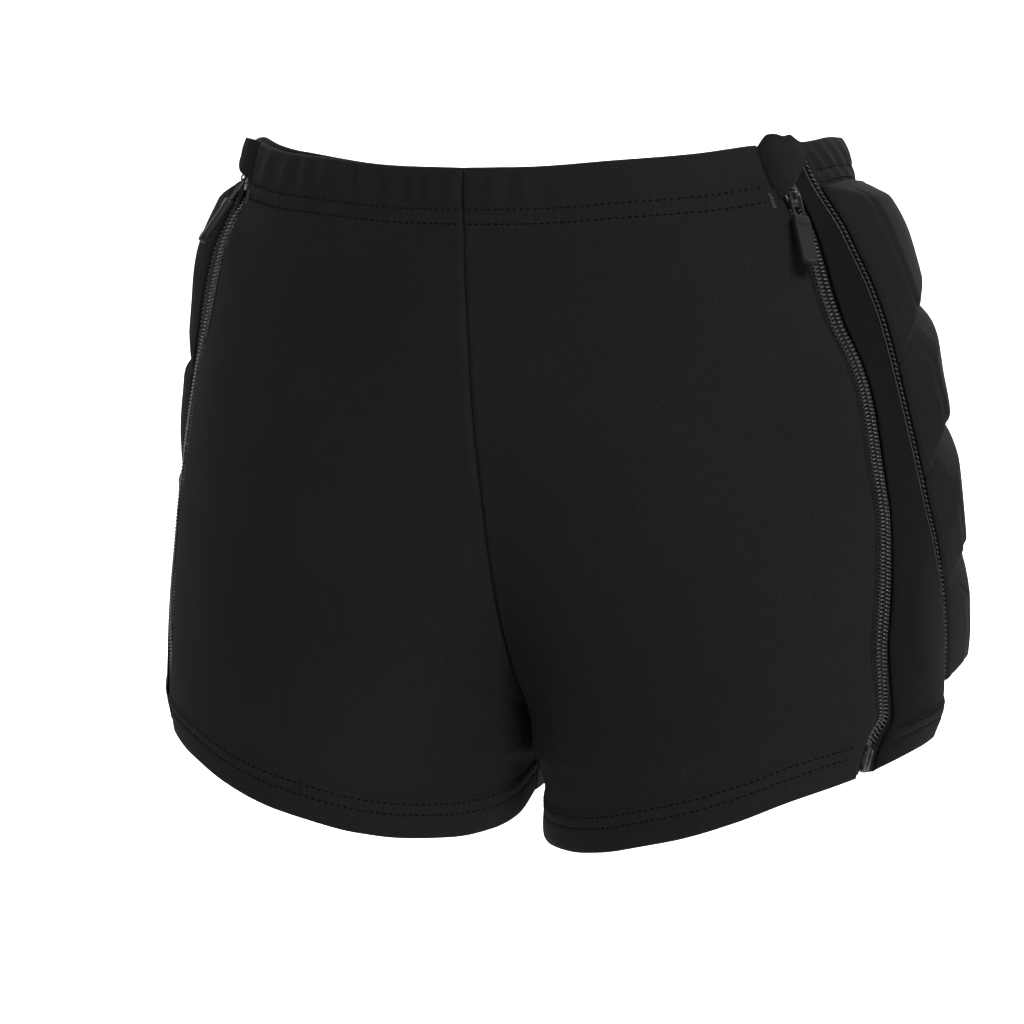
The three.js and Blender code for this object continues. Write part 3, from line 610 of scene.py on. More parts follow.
def hip_pad(name, side, index, material):
    """A foam block under its sewn cover, from the hip seam round towards the back."""
    top_edge, low_edge, pad_name = pad_edges(side, index)
    front = at_seam(PAD_GROOVE)
    edge_steps = (0.3, 0.9, 1.8, 2.6)
    across, down = np.meshgrid(graded(125, 1.0, edge_steps), graded(52, 1.2, edge_steps))
    z = np.full_like(across, height_of(PADS[pad_name][0]))
    for _ in range(10):
        around = mix(front(z), pad_rear(z), across)
        z = mix(top_edge(around, across), low_edge(across), down)
    height = top_edge(around, across) - low_edge(across)
    face = pad_face(pad_name, index, around, z, across, down, height)
    seat = CLOTH / 2 + 1.05
    base = np.full_like(face, seat)
    return sheet_piece(name, side, around, z, seat + np.maximum(face, 0.15), base, material, "pad_cover")


# Stitches and other small runs
def tubes(paths, normals, width, height, sides=6, closed=False):
    """Round tubes along many paths of the same length: paths and normals are (tubes, points, 3)."""
    along = np.gradient(paths, axis=1)
    if closed:
        along = np.roll(paths, -1, axis=1) - np.roll(paths, 1, axis=1)
    along = unit(along)
    up = square_to(along, normals)
    across = np.cross(along, up)
    turn = np.arange(sides) * 2 * np.pi / sides
    width = np.broadcast_to(width, paths.shape[:2])[..., None, None]
    height = np.broadcast_to(height, paths.shape[:2])[..., None, None]
    rings = (
        paths[:, :, None]
        + across[:, :, None] * np.cos(turn)[:, None] * width
        + up[:, :, None] * np.sin(turn)[:, None] * height
    )
    count, length = paths.shape[:2]
    points = rings.reshape(-1, 3)
    faces = []
    ring = np.arange(sides)
    after = (ring + 1) % sides
    for step in range(length if closed else length - 1):
        low, high = step * sides, ((step + 1) % length) * sides
        faces.append(np.stack([low + ring, low + after, high + after, high + ring], axis=-1))
    faces = np.concatenate(faces)
    starts = np.arange(count) * length * sides
    all_faces = (faces[None] + starts[:, None, None]).reshape(-1, 4).tolist()
    if not closed:
        for start in starts:
            all_faces.append((start + ring[::-1]).tolist())
            all_faces.append((start + (length - 1) * sides + ring).tolist())
    return points, all_faces


STITCH_STEPS = np.array([0, 0.08, 0.28, 0.5, 0.72, 0.92, 1])
STITCH_ROUND = np.array([0.25, 0.7, 1, 1, 1, 0.7, 0.25])


def stitches(starts, ends, normals, thick, bow):
    """One small thread dash from each start to each end, bowed up in the middle."""
    paths = mix(starts[:, None], ends[:, None], STITCH_STEPS[None, :, None])
    arch = np.sin(np.pi * STITCH_STEPS)[None, :, None] * bow
    paths = paths + normals[:, None] * arch
    spread = np.repeat(normals[:, None], len(STITCH_STEPS), axis=1)
    return tubes(paths, spread, thick * STITCH_ROUND, 0.7 * thick * STITCH_ROUND)


def run_along(side, around, z, pitch):
    """Places at an even pitch along a line of places."""
    points = cloth_point(side, around, z, np.zeros_like(z))
    run = np.concatenate([[0], np.cumsum(np.linalg.norm(np.diff(points, axis=0), axis=-1))])
    at = np.arange(0, run[-1], pitch)
    return np.interp(at, run, around), np.interp(at, run, z)


def outward(side, around, z):
    """Outward direction on either side."""
    normal = body_normal(around, z)
    normal[..., 0] *= side
    return normal


def dash_row(side, around, z, relief, dash):
    """A row of thread dashes, sunk a little in the cloth, along a line of places."""
    u, h = run_along(side, around, z, STITCH_PITCH / 10)
    first = np.arange(2, len(u) - 12, 10)
    last = first + round(10 * dash / STITCH_PITCH)
    sink = 0.03
    starts = cloth_point(side, u[first], h[first], relief(side, u[first], h[first]) - sink)
    ends = cloth_point(side, u[last], h[last], relief(side, u[last], h[last]) - sink)
    return stitches(starts, ends, outward(side, u[first], h[first]), 0.27, 0.25)


def merged(parts):
    """One list of points and one of faces from several (points, faces) parts."""
    points, faces, start = [], [], 0
    for part_points, part_faces in parts:
        points.append(part_points)
        faces += [[corner + start for corner in face] for face in part_faces]
        start += len(part_points)
    return np.concatenate(points), faces


def sewing(name, side, material):
    """The rows of thread on one side, two round the waist and two round the hem."""
    parts = []

    def row(start, stop, count, edge, shift, relief, kind):
        u = np.linspace(start, stop, count)
        parts.append(dash_row(side, u, edge(u, side) + shift, relief, STITCH_LENGTH[kind]))

    near_seam, far_seam = 0.004, 0.996
    band_end = float(at_zip(-FLAP_START - 1.5)(0.0))
    back_start = at_level_zero(HIP_SEAM) + 0.012
    hem_zip = float(zip_around(-FRONT_RISE))
    for drop in FRONT_ROWS:
        row(near_seam, band_end, 400, rim_height, -drop, front_relief, "waist")
    for drop in BACK_ROWS:
        row(back_start, far_seam, 500, rim_height, -drop, back_relief, "waist")
    for rise in HEM_ROWS:
        row(near_seam, hem_zip - 0.017, 500, hem_height, rise, front_relief, "hem")
        row(hem_zip + 0.028, 0.53, 200, hem_height, rise, side_relief, "hem")
        row(0.556, far_seam, 500, hem_height, rise, back_relief, "hem")
    return new_piece(name, *merged(parts), material, "stretch_cloth")


def bar_tack(side):
    """The short dense stitching that fastens the band's end beside the flap's foot."""
    place = at_zip(-FLAP_START - 2.6)
    z = float(rim_height(place(0.0), side)) - np.arange(20.5, 26.5, 0.55)
    u = place(z)
    starts = cloth_point(side, shifted(u, z, -1.1), z, front_relief(side, u, z) + 0.1)
    ends = cloth_point(side, shifted(u, z, 1.1), z, front_relief(side, u, z) + 0.1)
    return stitches(starts, ends, outward(side, u, z), 0.3, 0.25)


def hip_seam(name, side, material):
    """The ropy overlock stitches over the hip seam, the thin thread line beside them and the bar tack."""
    levels = np.linspace(0, 1, 1200)
    top = float(rim_height(0.37, side)) - 0.8
    foot = float(hem_height(0.54, side)) + 1.2
    z = mix(top, foot, levels)
    u, h = run_along(side, seam_around(z), z, 2.1)
    half, slant = 1.0, 0.6
    above = cloth_point(side, shifted(u, h + slant, -half), h + slant, np.full_like(u, 1.15))
    under = cloth_point(side, shifted(u, h - slant, half), h - slant, np.full_like(u, 1.25))
    normals = outward(side, u, h)
    parts = [stitches(above, under, normals, 0.5, 0.45)]
    line = cloth_point(side, shifted(seam_around(z), z, -2.1), z, np.full_like(z, 0.95))
    line_normals = outward(side, seam_around(z), z)
    parts.append(tubes(line[None, ::3], line_normals[None, ::3], 0.32, 0.26))
    parts.append(bar_tack(side))
    return new_piece(name, *merged(parts), material, "stretch_cloth")


# Zip
def slider_height(side):
    return float(rim_height(at_level_zero(ZIP), side)) - SLIDER_DROP[side_word(side)]


def box_foot(side):
    return float(hem_height(zip_around(-FRONT_RISE), side))


def chain_foot(side):
    return box_foot(side) + BOX_LENGTH + 2 * SEAM_GAP


def chain_top(side):
    return slider_height(side) + SLIDER_LENGTH / 2 - SLIDER_WIDTH / 2


def zip_tape(name, side, hand, material):
    """One woven half of the tape, with a beaded edge beside the coils."""
    shown = FRONT_TAPE_SHOWN if hand < 0 else SIDE_TAPE_SHOWN
    width = shown + TAPE_UNDERLAP
    lead = -0.3
    shares = np.linspace(0, 1, 13)
    top = chain_top(side) + 0.9
    drops = np.arange(0, SLIDER_DROP[side_word(side)] - 5.2, 1.5)[:, None]
    steps = np.linspace(top, box_foot(side), 150)[:, None]
    count = len(drops) + len(steps) + 1

    def heights(around):
        around = widened(around, count)
        start = rim_height(around[: len(drops)], side) - drops
        level = steps + np.zeros_like(around[: len(steps)])
        return np.concatenate([start, level, hem_height(around[-1:], side)])

    def inside(z):
        near = mix(0.9, CHAIN_WIDTH / 2 + lead, smooth(top - z, 0, 2.5))
        near = mix(near, BOX_WIDTH / 2 - 0.4, smooth(chain_foot(side) + 1 - z, 0, 1))
        return shifted(zip_around(z), z, hand * near)

    edges = [edge_line(inside), at_zip(hand * (CHAIN_WIDTH / 2 + width))][::hand]
    around, z = crossing(*edges, shares, heights)
    apart = (1 - shares if hand < 0 else shares) * width
    weave = 0.06 * np.sin(apart * 2 * np.pi / 1.1)[None, :] * np.ones_like(z)
    bead = 0.16 * ridge(apart - 0.5, 0.35)[None, :]
    outer = -TAPE_DEPTH + TAPE_THICKNESS / 2 + weave + bead
    inner = np.full_like(z, -TAPE_DEPTH - TAPE_THICKNESS / 2)
    carried = chain_rise(z, side) * (1 - smooth(apart, 1.0, shown - 0.3))[None, :]
    outer, inner = outer + 0.75 * carried, inner + 0.75 * carried
    return sheet_piece(name, side, around, z, outer, inner, material, "zip_tape")


def chain_rise(z, side):
    """How far the coils stand proud of the slider's line, between the slider and the bottom box."""
    under_slider = slider_height(side) - SLIDER_LENGTH / 2 - z
    return CHAIN_RISE * smooth(under_slider, 0, 14) * smooth(z - chain_foot(side), 0, 50)


def zip_centre(side, heights):
    """Points, and the across, up and away directions, along the middle of the chain."""
    centre = cloth_point(side, zip_around(heights), heights, chain_rise(heights, side) - CHAIN_DEPTH)
    up = unit(np.gradient(centre, axis=0))
    away = square_to(up, outward(side, zip_around(heights), heights))
    return centre, np.cross(up, away), up, away


def zip_coils(name, side, material):
    """Two interlocked rows of coil loops over a flat core."""
    top, foot = chain_top(side) - 0.6, chain_foot(side) + 0.4
    count = int((top - foot) / COIL_PITCH)
    parts = []
    # A hairpin loop seen from above: out at the tape, over the crown and round its head at the middle
    reach = np.array([2.75, 2.4, 1.8, 1.1, 0.45, 0.05, 0.45, 1.1, 1.8, 2.4, 2.75])
    along = np.array([-0.1, -0.06, 0.02, 0.14, 0.3, 0.42, 0.4, 0.3, 0.2, 0.14, 0.1])
    height = np.array([-0.5, 0.2, 0.8, 0.75, 0.35, 0.1, 0.35, 0.75, 0.8, 0.2, -0.5])
    for hand in (-1, 1):
        levels = foot + (np.arange(count) + 0.5 + 0.25 * hand) * (top - foot) / count
        centre, across, up, away = zip_centre(side, levels)
        paths = (
            centre[:, None]
            + across[:, None] * (hand * reach)[None, :, None]
            + up[:, None] * along[None, :, None]
            + away[:, None] * height[None, :, None]
        )
        normals = np.repeat(away[:, None], len(reach), axis=1)
        parts.append(tubes(paths, normals, 0.35, 0.38, sides=8))
    levels = np.linspace(foot - 2.2, top, 120)
    centre, across, up, away = zip_centre(side, levels)
    spread = np.array([-2.6, -1.3, 0, 1.3, 2.6])
    outer = centre[:, None] + across[:, None] * spread[None, :, None] - away[:, None] * 0.45
    inner = centre[:, None] + across[:, None] * spread[None, :, None] - away[:, None] * 1.0
    parts.append(closed_sheet(outer, inner, -1))
    return new_piece(name, *merged(parts), material, "zip_teeth")


def zip_frame(side, z, low, high):
    """Frame in the zip at a height, with x across it, y up it and z away from the body, in millimetres."""
    heights = np.array([z, low, high], float)
    points = cloth_point(side, zip_around(heights), heights, np.full(3, -CHAIN_DEPTH))
    up = unit(points[2] - points[1])
    away = square_to(up, outward(side, zip_around(heights[:1]), heights[:1])[0])
    across = np.cross(up, away)
    matrix = Matrix.Identity(4)
    for column, direction in enumerate((across, up, away, points[0])):
        for row in range(3):
            matrix[row][column] = direction[row]
    return matrix


def placed(matrix, points):
    turn = np.array(matrix.to_3x3())
    return np.asarray(points) @ turn.T + np.array(matrix.translation)


def outline_slab(outline, thickness, low, edge, inset_steps=3):
    """A slab with rounded rims over an outline that its own middle can see all of."""
    outline = np.asarray(outline, float)
    centre = outline.mean(axis=0)
    rings = []
    turns = np.linspace(0, np.pi / 2, inset_steps + 1)
    reach = np.linalg.norm(outline - centre, axis=1, keepdims=True)
    inward = (centre - outline) / reach

    def ring(inset, height):
        flat_ring = outline + inward * inset
        return np.column_stack([flat_ring, np.full(len(outline), height)])

    for turn in turns:
        rings.append(ring(edge * (1 - math.sin(turn)), low + edge * (1 - math.cos(turn))))
    for turn in turns[::-1]:
        rings.append(ring(edge * (1 - math.sin(turn)), low + thickness - edge * (1 - math.cos(turn))))
    count = len(outline)
    points = np.concatenate([*rings, [[*centre, low]], [[*centre, low + thickness]]])
    faces = []
    index = np.arange(count)
    after = (index + 1) % count
    for step in range(len(rings) - 1):
        a, b = step * count, (step + 1) * count
        faces += np.stack([a + index, a + after, b + after, b + index], axis=-1).tolist()
    bottom, top = len(points) - 2, len(points) - 1
    last = (len(rings) - 1) * count
    faces += [[bottom, int(n), int(i)] for i, n in zip(index, after)]
    faces += [[top, int(last + i), int(last + n)] for i, n in zip(index, after)]
    return points, faces


def smooth_outline(corners, count):
    """A closed outline through corner points, rounded between them."""
    corners = np.asarray(corners, float)
    for _ in range(3):
        after = np.roll(corners, -1, axis=0)
        pairs = [0.75 * corners + 0.25 * after, 0.25 * corners + 0.75 * after]
        corners = np.stack(pairs, axis=1).reshape(-1, 2)
    steps = np.linalg.norm(np.diff(np.vstack([corners, corners[:1]]), axis=0), axis=1)
    run = np.concatenate([[0], np.cumsum(steps)])
    at = np.linspace(0, run[-1], count, endpoint=False)
    ring = np.vstack([corners, corners[:1]])
    return np.column_stack([np.interp(at, run, ring[:, 0]), np.interp(at, run, ring[:, 1])])


def slider(name, side, material):
    """The slider: two shield plates with turned edges, the wedge between them and the arched bridge."""
    half, end = SLIDER_WIDTH / 2, SLIDER_LENGTH / 2
    shield_half = [
        (half * 0.72, -end), (half * 0.84, -end * 0.3), (half, end * 0.3), (half * 0.98, end * 0.8),
        (half * 0.5, end * 1.02),
    ]
    shield = [(-half * 0.72, -end), *shield_half, *[(-x, y) for x, y in shield_half[:0:-1]]]
    outline = smooth_outline(shield, 48)
    wedge = [(-0.7, 2.2), (0.7, 2.2), (0.5, 4.9), (-0.5, 4.9)]
    parts = [
        outline_slab(outline, SLIDER_PLATE, PLATE_UNDER, 0.4),
        outline_slab(outline, SLIDER_PLATE, -PLATE_TOP, 0.4),
        outline_slab(outline * [0.62, 0.66], 0.35, PLATE_TOP - 0.1, 0.2),
        outline_slab(smooth_outline(wedge, 20), 4.4, -2.2, 0.2),
    ]
    for hand in (-1, 1):
        flange = [(0.62, -0.85), (0.8, -0.85), (0.95, 0.3), (0.78, 0.3)]
        flange = [(hand * half * x, end * y) for x, y in flange]
        parts.append(outline_slab(smooth_outline(flange, 24), 1.0, PLATE_UNDER - 0.85, 0.25))
    rise = BRIDGE_TOP - PLATE_TOP
    turn = np.linspace(0, np.pi, 17)
    arch = np.column_stack([
        np.zeros(17), 2.05 * np.cos(turn), PLATE_TOP - 0.3 + (rise - 0.15) * np.sin(turn) ** 0.6,
    ])
    normals = np.column_stack([np.zeros(17), np.cos(turn), np.sin(turn) + 0.01])
    parts.append(tubes(arch[None], normals[None], 0.8, 0.42, sides=10))
    points, faces = merged(parts)
    level = slider_height(side)
    matrix = zip_frame(side, level, level - SLIDER_LENGTH / 2, level + SLIDER_LENGTH / 2)
    return new_piece(name, placed(matrix, points), faces, material, "zip_metal"), matrix


def pull_matrix(head, name):
    """Where a pull lies at rest: its frame is at the bridge, lifted and swung as the photograph shows."""
    lift, swing = PULL_POSE[name]
    turn = Matrix.Rotation(math.radians(swing), 4, "Z") @ Matrix.Rotation(-math.radians(lift), 4, "X")
    return head @ Matrix.Translation((0, 0, PIN_HEIGHT)) @ turn


def pull_link(name, matrix, body, material):
    """The wire link: a rounded loop whose upper bar passes under the bridge."""
    half = LINK_WIDTH / 2 - LINK_WIRE / 2
    top, foot = 0.0, -(LINK_LENGTH - LINK_WIRE)
    corner = 1.1
    path = []
    for centre_x, centre_y, start in (
        (half - corner, top - corner, 0), (-half + corner, top - corner, 90),
        (-half + corner, foot + corner, 180), (half - corner, foot + corner, 270),
    ):
        for turn in np.radians(np.linspace(start, start + 90, 7)):
            path.append((centre_x + corner * math.cos(turn), centre_y + corner * math.sin(turn), 0))
    path = np.array(path)[None]
    normals = np.broadcast_to([0.0, 0.0, 1.0], path.shape)
    points, faces = tubes(path, normals, LINK_WIRE / 2, LINK_WIRE / 2, sides=12, closed=True)
    return new_piece(name, placed(matrix, points), faces, material, "zip_metal", body)


def pull_tab(name, matrix, body, material):
    """The moulded tab: a low border round a plain face, and a thicker collar round the link."""
    top = LINK_WIRE / 2 - LINK_LENGTH + TAB_GRIP
    foot = top - TAB_LENGTH
    half = TAB_WIDTH / 2
    fine = np.array([0.03, 0.12, 0.3, 0.6, 1.0])
    along = np.unique(np.concatenate([np.linspace(foot, top, 70), foot + fine, [foot + 1.5], top - fine]))
    across = -np.cos(np.linspace(0, np.pi, 41))
    y = along[:, None] * np.ones_like(across)[None]
    low_round = rounded(along - foot, half * 0.9, 0.0004)
    top_round = mix(0.72, 1, rounded(top - along, 2.2, 0))
    x = half * (low_round * top_round)[:, None] * across[None]
    edge = np.minimum(np.minimum(half * low_round[:, None] - np.abs(x), y - foot), top - y)
    edge = np.minimum(edge, (half * top_round)[:, None] - np.abs(x))
    body_round = rounded(edge, 0.8, 0)
    collar = smooth(y, top - 5.2, top - 4.2)
    well = smooth(edge, 0.9, 1.3) * (1 - collar)
    thick = TAB_THICKNESS / 2 * (1 + 0.12 * collar) - 0.22 * well
    height = np.maximum(thick * body_round, 0.02)
    outer = np.stack([x, y, height], axis=-1)
    inner = np.stack([x, y, -height], axis=-1)
    points, faces = closed_sheet(outer, inner, -1)
    return new_piece(name, placed(matrix, points), faces, material, "pull_rubber", body)


def zip_box(name, side, material):
    """The bottom box, with two raised bars on its face."""
    half = BOX_WIDTH / 2
    body = smooth_outline([(-half, 0.1), (half, 0.1), (half, BOX_LENGTH), (-half, BOX_LENGTH)], 40)
    parts = [outline_slab(body, BOX_THICKNESS - 0.5, -BOX_THICKNESS / 2, 0.45)]
    for hand in (-1, 1):
        bar = [(hand * 0.35, 0.8), (hand * 1.95, 0.8), (hand * 1.95, 10.4), (hand * 0.35, 10.4)]
        parts.append(outline_slab(smooth_outline(bar, 28), 0.9, BOX_THICKNESS / 2 - 0.9, 0.35))
    points, faces = merged(parts)
    matrix = zip_frame(side, box_foot(side), box_foot(side), chain_foot(side))
    return new_piece(name, placed(matrix, points), faces, material, "zip_metal")


def flap(name, side, material):
    """The soft flap that guards the top of the zip, pinched where it is sewn under the band's end."""
    tall = FLAP_HEIGHT[side_word(side)]
    shares = graded(FLAP_WIDTH, 0.75, (0.25, 0.6, 1.0))
    downs = graded(tall, 0.8, (0.25, 0.6, 1.0))
    base, tip = at_zip(-FLAP_START + 0.6), at_zip(FLAP_WIDTH - FLAP_START)
    across, down = np.meshgrid(shares, downs)
    top = read((FLAP_AT, FLAP["top"]), across)
    top = np.where(top < 0, top * FLAP_CROWN[side_word(side)], top)
    bottom = read((FLAP_AT, FLAP["bottom"]), across)
    drop = mix(top, bottom, down) * tall
    z = np.zeros_like(across)
    for _ in range(10):
        around = mix(base(z), tip(z), across)
        z = rim_height(around, side) - drop
    lift = FLAP_LIFT * read((FLAP_AT, FLAP["lift"]), across)
    valley = -0.5 * ridge(across - 0.3, 0.06) * smooth(1 - down, 0.0, 0.5)
    roll = 0.55 * ridge(1 - down, 0.1) + 0.3 * ridge(down, 0.08)
    bulge = 0.6 * np.sin(np.pi * np.clip(down, 0, 1)) * smooth(across, 0.05, 0.5)
    crumple = 0.15 * uneven(across * 26, z, 18, 4) * smooth(across, 0.03, 0.2)
    middle = lift + valley + roll + bulge + crumple
    half = 0.8 * np.minimum(
        edges_round(shares, FLAP_WIDTH, 0.8)[None, :], edges_round(downs, tall * 0.7, 0.8)[:, None]
    )
    return sheet_piece(name, side, around, z, middle + half, middle - half, material, "stretch_cloth")


# Materials
def new_material(name, roughness, specular):
    material = bpy.data.materials.new(name)
    material.use_nodes = True
    tree = material.node_tree
    shader = next(node for node in tree.nodes if node.type == "BSDF_PRINCIPLED")
    shader.inputs["Roughness"].default_value = roughness
    shader.inputs["Specular IOR Level"].default_value = specular
    return material, tree, shader


def ramp(tree, source, stops, dark, light):
    """Colour that goes from dark to light between two values of a source."""
    made = tree.nodes.new("ShaderNodeValToRGB")
    for element, position, colour in zip(made.color_ramp.elements, stops, (dark, light)):
        element.position = position
        element.color = (*colour, 1)
    tree.links.new(source, made.inputs["Fac"])
    return made.outputs["Color"]


def coloured(tree, shader, source, stops, dark, light):
    tree.links.new(ramp(tree, source, stops, dark, light), shader.inputs["Base Color"])


def object_place(tree):
    return tree.nodes.new("ShaderNodeTexCoord").outputs["Object"]


def cloth_place(tree):
    made = tree.nodes.new("ShaderNodeUVMap")
    made.uv_map = "cloth"
    return made.outputs["UV"]


def noise(tree, scale, detail=3):
    made = tree.nodes.new("ShaderNodeTexNoise")
    made.inputs["Scale"].default_value = scale
    made.inputs["Detail"].default_value = detail
    tree.links.new(object_place(tree), made.inputs["Vector"])
    return made.outputs["Fac"]


def wave(tree, place, scale, direction, distortion):
    made = tree.nodes.new("ShaderNodeTexWave")
    made.bands_direction = direction
    made.inputs["Scale"].default_value = scale
    made.inputs["Distortion"].default_value = distortion
    made.inputs["Detail Scale"].default_value = 1.0
    tree.links.new(place, made.inputs["Vector"])
    return made.outputs["Fac"]


def weave(tree, across, down, loose_across, loose_down):
    """Bands at two pitches in millimetres, across the cloth and down it, each a little uneven."""
    place = cloth_place(tree)
    ribs = wave(tree, place, math.pi / (10 * across) * 2, "X", loose_across)
    rows = wave(tree, place, math.pi / (10 * down) * 2, "Y", loose_down)
    return product(tree, ribs, rows)


def bump(tree, shader, source, strength, distance=0.0002, before=None):
    made = tree.nodes.new("ShaderNodeBump")
    made.inputs["Strength"].default_value = strength
    made.inputs["Distance"].default_value = distance
    tree.links.new(source, made.inputs["Height"])
    if before is not None:
        tree.links.new(before, made.inputs["Normal"])
    tree.links.new(made.outputs["Normal"], shader.inputs["Normal"])
    return made.outputs["Normal"]


def product(tree, a, b):
    made = tree.nodes.new("ShaderNodeMath")
    made.operation = "MULTIPLY"
    tree.links.new(a, made.inputs[0])
    tree.links.new(b, made.inputs[1])
    return made.outputs["Value"]


def knit(name, dark, light, wale, course, strength, sheen):
    """Fine stretch knit: ribs down the cloth, courses across them, and a soft mottle of fibre ends."""
    material, tree, shader = new_material(name, 0.86, 0.03)
    stitch = weave(tree, wale, course, 0.4, 0.6)
    mottle = noise(tree, 1300)
    cloudy = ramp(tree, noise(tree, 14, 2), (0.3, 0.7), (0.75, 0.75, 0.76), (1, 1, 1))
    shade = tree.nodes.new("ShaderNodeMix")
    shade.data_type = "RGBA"
    shade.blend_type = "MULTIPLY"
    shade.inputs["Factor"].default_value = 0.5
    tree.links.new(ramp(tree, mottle, (0.3, 0.75), dark, light), shade.inputs["A"])
    tree.links.new(cloudy, shade.inputs["B"])
    tree.links.new(shade.outputs["Result"], shader.inputs["Base Color"])
    shader.inputs["Sheen Weight"].default_value = sheen
    shader.inputs["Sheen Roughness"].default_value = 0.45
    shader.inputs["Sheen Tint"].default_value = (0.8, 0.82, 0.86, 1)
    first = bump(tree, shader, stitch, strength)
    bump(tree, shader, mottle, 0.1, before=first)
    return material


def woven(name):
    """Plain woven tape."""
    material, tree, shader = new_material(name, 0.8, 0.08)
    threads = weave(tree, 0.7, 0.8, 0.3, 0.5)
    coloured(tree, shader, threads, (0.1, 0.8), (0.002, 0.002, 0.002), (0.006, 0.006, 0.0062))
    bump(tree, shader, threads, 0.8, 0.0003)
    return material


def thread(name, dark, light, shine):
    """Twisted polyester thread with a faint shine."""
    material, tree, shader = new_material(name, 0.55, shine)
    twist = wave(tree, object_place(tree), 900, "DIAGONAL", 1.0)
    coloured(tree, shader, twist, (0.2, 0.9), dark, light)
    bump(tree, shader, twist, 0.4)
    return material


def coil_plastic(name):
    """Glossy black plastic of the zip's coils."""
    material, tree, shader = new_material(name, 0.33, 0.26)
    coloured(tree, shader, noise(tree, 700), (0.3, 0.8), (0.0015, 0.0015, 0.0015), (0.003, 0.003, 0.003))
    return material


def lacquered(name):
    """Black lacquer over die-cast metal, with painted highlights that make it paler along its edges."""
    material, tree, shader = new_material(name, 0.5, 0.5)
    geometry = tree.nodes.new("ShaderNodeNewGeometry")
    mottle = noise(tree, 500, 4)
    # Painted highlight: the colour goes paler where the surface is most pointy, along the edges
    edge_highlight = product(tree, geometry.outputs["Pointiness"], mottle)
    coloured(tree, shader, edge_highlight, (0.27, 0.36), (0.006, 0.006, 0.006), (0.05, 0.05, 0.053))
    shader.inputs["Metallic"].default_value = 0.55
    rough = tree.nodes.new("ShaderNodeMapRange")
    rough.inputs["To Min"].default_value = 0.26
    rough.inputs["To Max"].default_value = 0.42
    tree.links.new(mottle, rough.inputs["Value"])
    tree.links.new(rough.outputs["Result"], shader.inputs["Roughness"])
    bump(tree, shader, mottle, 0.12)
    return material


def moulded(name):
    """Soft black rubber with a fine grain."""
    material, tree, shader = new_material(name, 0.5, 0.07)
    grain = noise(tree, 1400, 5)
    coloured(tree, shader, grain, (0.3, 0.8), (0.0025, 0.0025, 0.0025), (0.005, 0.005, 0.0052))
    bump(tree, shader, grain, 0.25)
    return material


def pale_floor(name):
    material, tree, shader = new_material(name, 0.9, 0.1)
    coloured(tree, shader, noise(tree, 3, 2), (0.3, 0.7), (0.9, 0.9, 0.9), (0.93, 0.93, 0.93))
    return material


# The camera, the floor and the light
def camera():
    """The photograph's view: level, 1.2 m away, from 21 degrees on the wearer's left of the front."""
    turn = math.radians(21)
    distance = 1.2
    data = bpy.data.cameras.new("camera")
    data.lens = 94.9
    data.sensor_width = 36
    data.sensor_fit = "HORIZONTAL"
    data.shift_x = -33 / 1024
    data.shift_y = -44 / 1024
    made = bpy.data.objects.new("camera", data)
    made.location = (distance * math.sin(turn), -distance * math.cos(turn), -0.1238)
    made.rotation_euler = Euler((math.pi / 2, 0, turn))
    bpy.context.scene.collection.objects.link(made)
    bpy.context.scene.camera = made


def studio():
    """A pale floor that curves up into a backdrop behind the garment."""
    depth, rise, radius = 2.6, 3.4, 1.2
    turns = np.linspace(0, math.pi / 2, 13)
    level = -0.5
    profile = [(-6.0, level), (depth - radius, level)]
    profile += [(depth - radius + radius * math.sin(t), level + radius * (1 - math.cos(t))) for t in turns[1:]]
    profile.append((depth, level + rise))
    half = 7.0
    points = [(x, y, z) for y, z in profile for x in (-half, half)]
    faces = [(2 * i, 2 * i + 1, 2 * i + 3, 2 * i + 2) for i in range(len(profile) - 1)]
    mesh = bpy.data.meshes.new("floor")
    mesh.from_pydata(points, [], faces)
    mesh.materials.append(pale_floor("floor"))
    mesh.polygons.foreach_set("use_smooth", [True] * len(faces))
    floor = bpy.data.objects.new("floor", mesh)
    bpy.context.scene.collection.objects.link(floor)


def area_light(name, place, target, width, height, power):
    data = bpy.data.lights.new(name, "AREA")
    data.shape = "RECTANGLE"
    data.size, data.size_y = width, height
    data.energy = power
    made = bpy.data.objects.new(name, data)
    made.location = place
    made.rotation_euler = (Vector(target) - Vector(place)).to_track_quat("-Z", "Y").to_euler()
    bpy.context.scene.collection.objects.link(made)


def lights():
    world = bpy.data.worlds.new("studio")
    world.use_nodes = True
    background = next(n for n in world.node_tree.nodes if n.type == "BACKGROUND")
    background.inputs["Color"].default_value = (1, 1, 1, 1)
    background.inputs["Strength"].default_value = 0.25
    bpy.context.scene.world = world
    bpy.context.scene.view_settings.view_transform = "Standard"
    middle = (0, 0, -0.12)
    area_light("key", (1.2, -1.4, 0.8), middle, 0.6, 0.6, 100)
    area_light("fill", (-2.0, 0.1, 0.3), middle, 0.5, 1.2, 8)
    area_light("rim", (1.7, 0.9, 0.4), middle, 0.6, 1.2, 5)
    area_light("backdrop", (-0.4, 1.0, 1.9), (-0.5, 1.9, -0.4), 3.4, 2.0, 150)


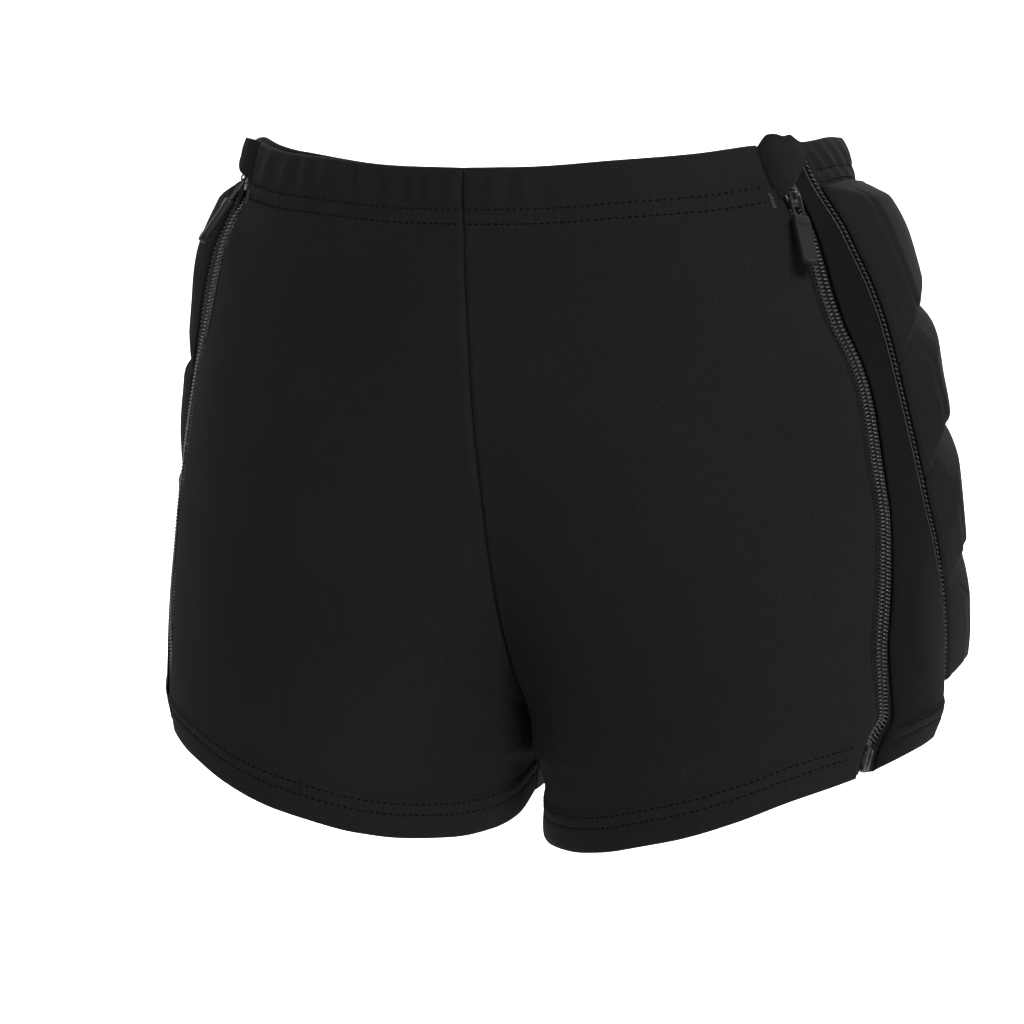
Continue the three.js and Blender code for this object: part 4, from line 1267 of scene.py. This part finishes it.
# Building the garment
cloth = knit("stretch knit", (0.0029, 0.0029, 0.003), (0.0052, 0.0052, 0.0054), 0.75, 0.55, 0.4, 0.01)
# Painted shade: a darker copy of the stretch knit, with the same weave, for the side panels that face away from
# the key light
shaded_side_cloth = knit("side knit painted shade", (0.0012, 0.0012, 0.0013), (0.0022, 0.0022, 0.0023), 0.75, 0.55, 0.4, 0.005)
pad_knit = knit("pad knit", (0.003, 0.003, 0.0031), (0.0056, 0.0056, 0.0058), 0.9, 0.7, 0.5, 0.015)
tape_weave = woven("zip tape weave")
row_thread = thread("row thread", (0.0006, 0.0006, 0.0006), (0.0016, 0.0016, 0.0016), 0.0)
seam_thread = thread("seam thread", (0.004, 0.004, 0.004), (0.009, 0.009, 0.0093), 0.2)
coil = coil_plastic("coil plastic")
metal = lacquered("lacquered metal")
rubber = moulded("moulded rubber")

centre_front = edge_line(lambda z: shifted(np.zeros_like(z), z, CENTRE_GAP))
centre_back = edge_line(lambda z: shifted(np.ones_like(z), z, -CENTRE_GAP))


def replaced(piece, *nodes):
    """The piece, once it stands in for its nodes of the record."""
    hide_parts(*nodes)
    return piece


def build_cloth(word, side):
    """The panels, the flap and the tapes of one side."""
    to_zip = edge_line(lambda z: front_edge(z, side))
    front = panel(f"front_cloth_{word}", side, centre_front, to_zip, 172, 1.5, front_relief, cloth, 70)
    replaced(front, f"front_panel_{word}", f"waistband_front_{word}")
    from_zip, to_seam = at_zip(CHAIN_WIDTH / 2 + SIDE_TAPE_SHOWN), at_seam(-SEAM_GAP / 2)
    # The side panels take the darker copy of the knit, which is painted shade
    strip = panel(f"shaded_side_cloth_{word}", side, from_zip, to_seam, 30, 1.0, side_relief, shaded_side_cloth, 70)
    replaced(strip, f"side_panel_{word}")
    from_seam = at_seam(SEAM_GAP / 2)
    rear = panel(f"back_cloth_{word}", side, from_seam, centre_back, 215, 1.8, back_relief, cloth, 70)
    replaced(rear, f"back_panel_{word}", f"waistband_back_{word}")
    guard = replaced(flap(f"flap_{word}", side, cloth), f"zip_flap_{word}")
    front_tape = replaced(zip_tape(f"tape_front_{word}", side, -1, tape_weave), f"zip_tape_front_{word}")
    side_tape = replaced(zip_tape(f"tape_side_{word}", side, 1, tape_weave), f"zip_tape_side_{word}")


def build_pads(word, side):
    for index, pad_name in enumerate(PADS):
        pad = hip_pad(f"pad_{pad_name}_{word}", side, index, pad_knit)
        replaced(pad, f"hip_pad_{pad_name}_{word}")


def build_zip(word, side):
    """The coils, slider, pull and box of one side's zip."""
    replaced(zip_coils(f"coils_{word}", side, coil), f"zip_chain_{word}")
    head, head_matrix = slider(f"slider_{word}", side, metal)
    replaced(head, f"zip_slider_{word}")
    pull, body = pull_matrix(head_matrix, word), f"{word}_pull"
    replaced(pull_link(f"link_{word}", pull, body, metal), f"zip_link_{word}")
    replaced(pull_tab(f"tab_{word}", pull, body, rubber), f"zip_tab_{word}")
    replaced(zip_box(f"box_{word}", side, metal), f"zip_box_{word}")


for side_name, side_sign in SIDES.items():
    build_cloth(side_name, side_sign)
    build_pads(side_name, side_sign)
    build_zip(side_name, side_sign)
    sewing(f"stitches_{side_name}", side_sign, row_thread)
    hip_seam(f"hip_seam_{side_name}", side_sign, seam_thread)

camera()
studio()
lights()
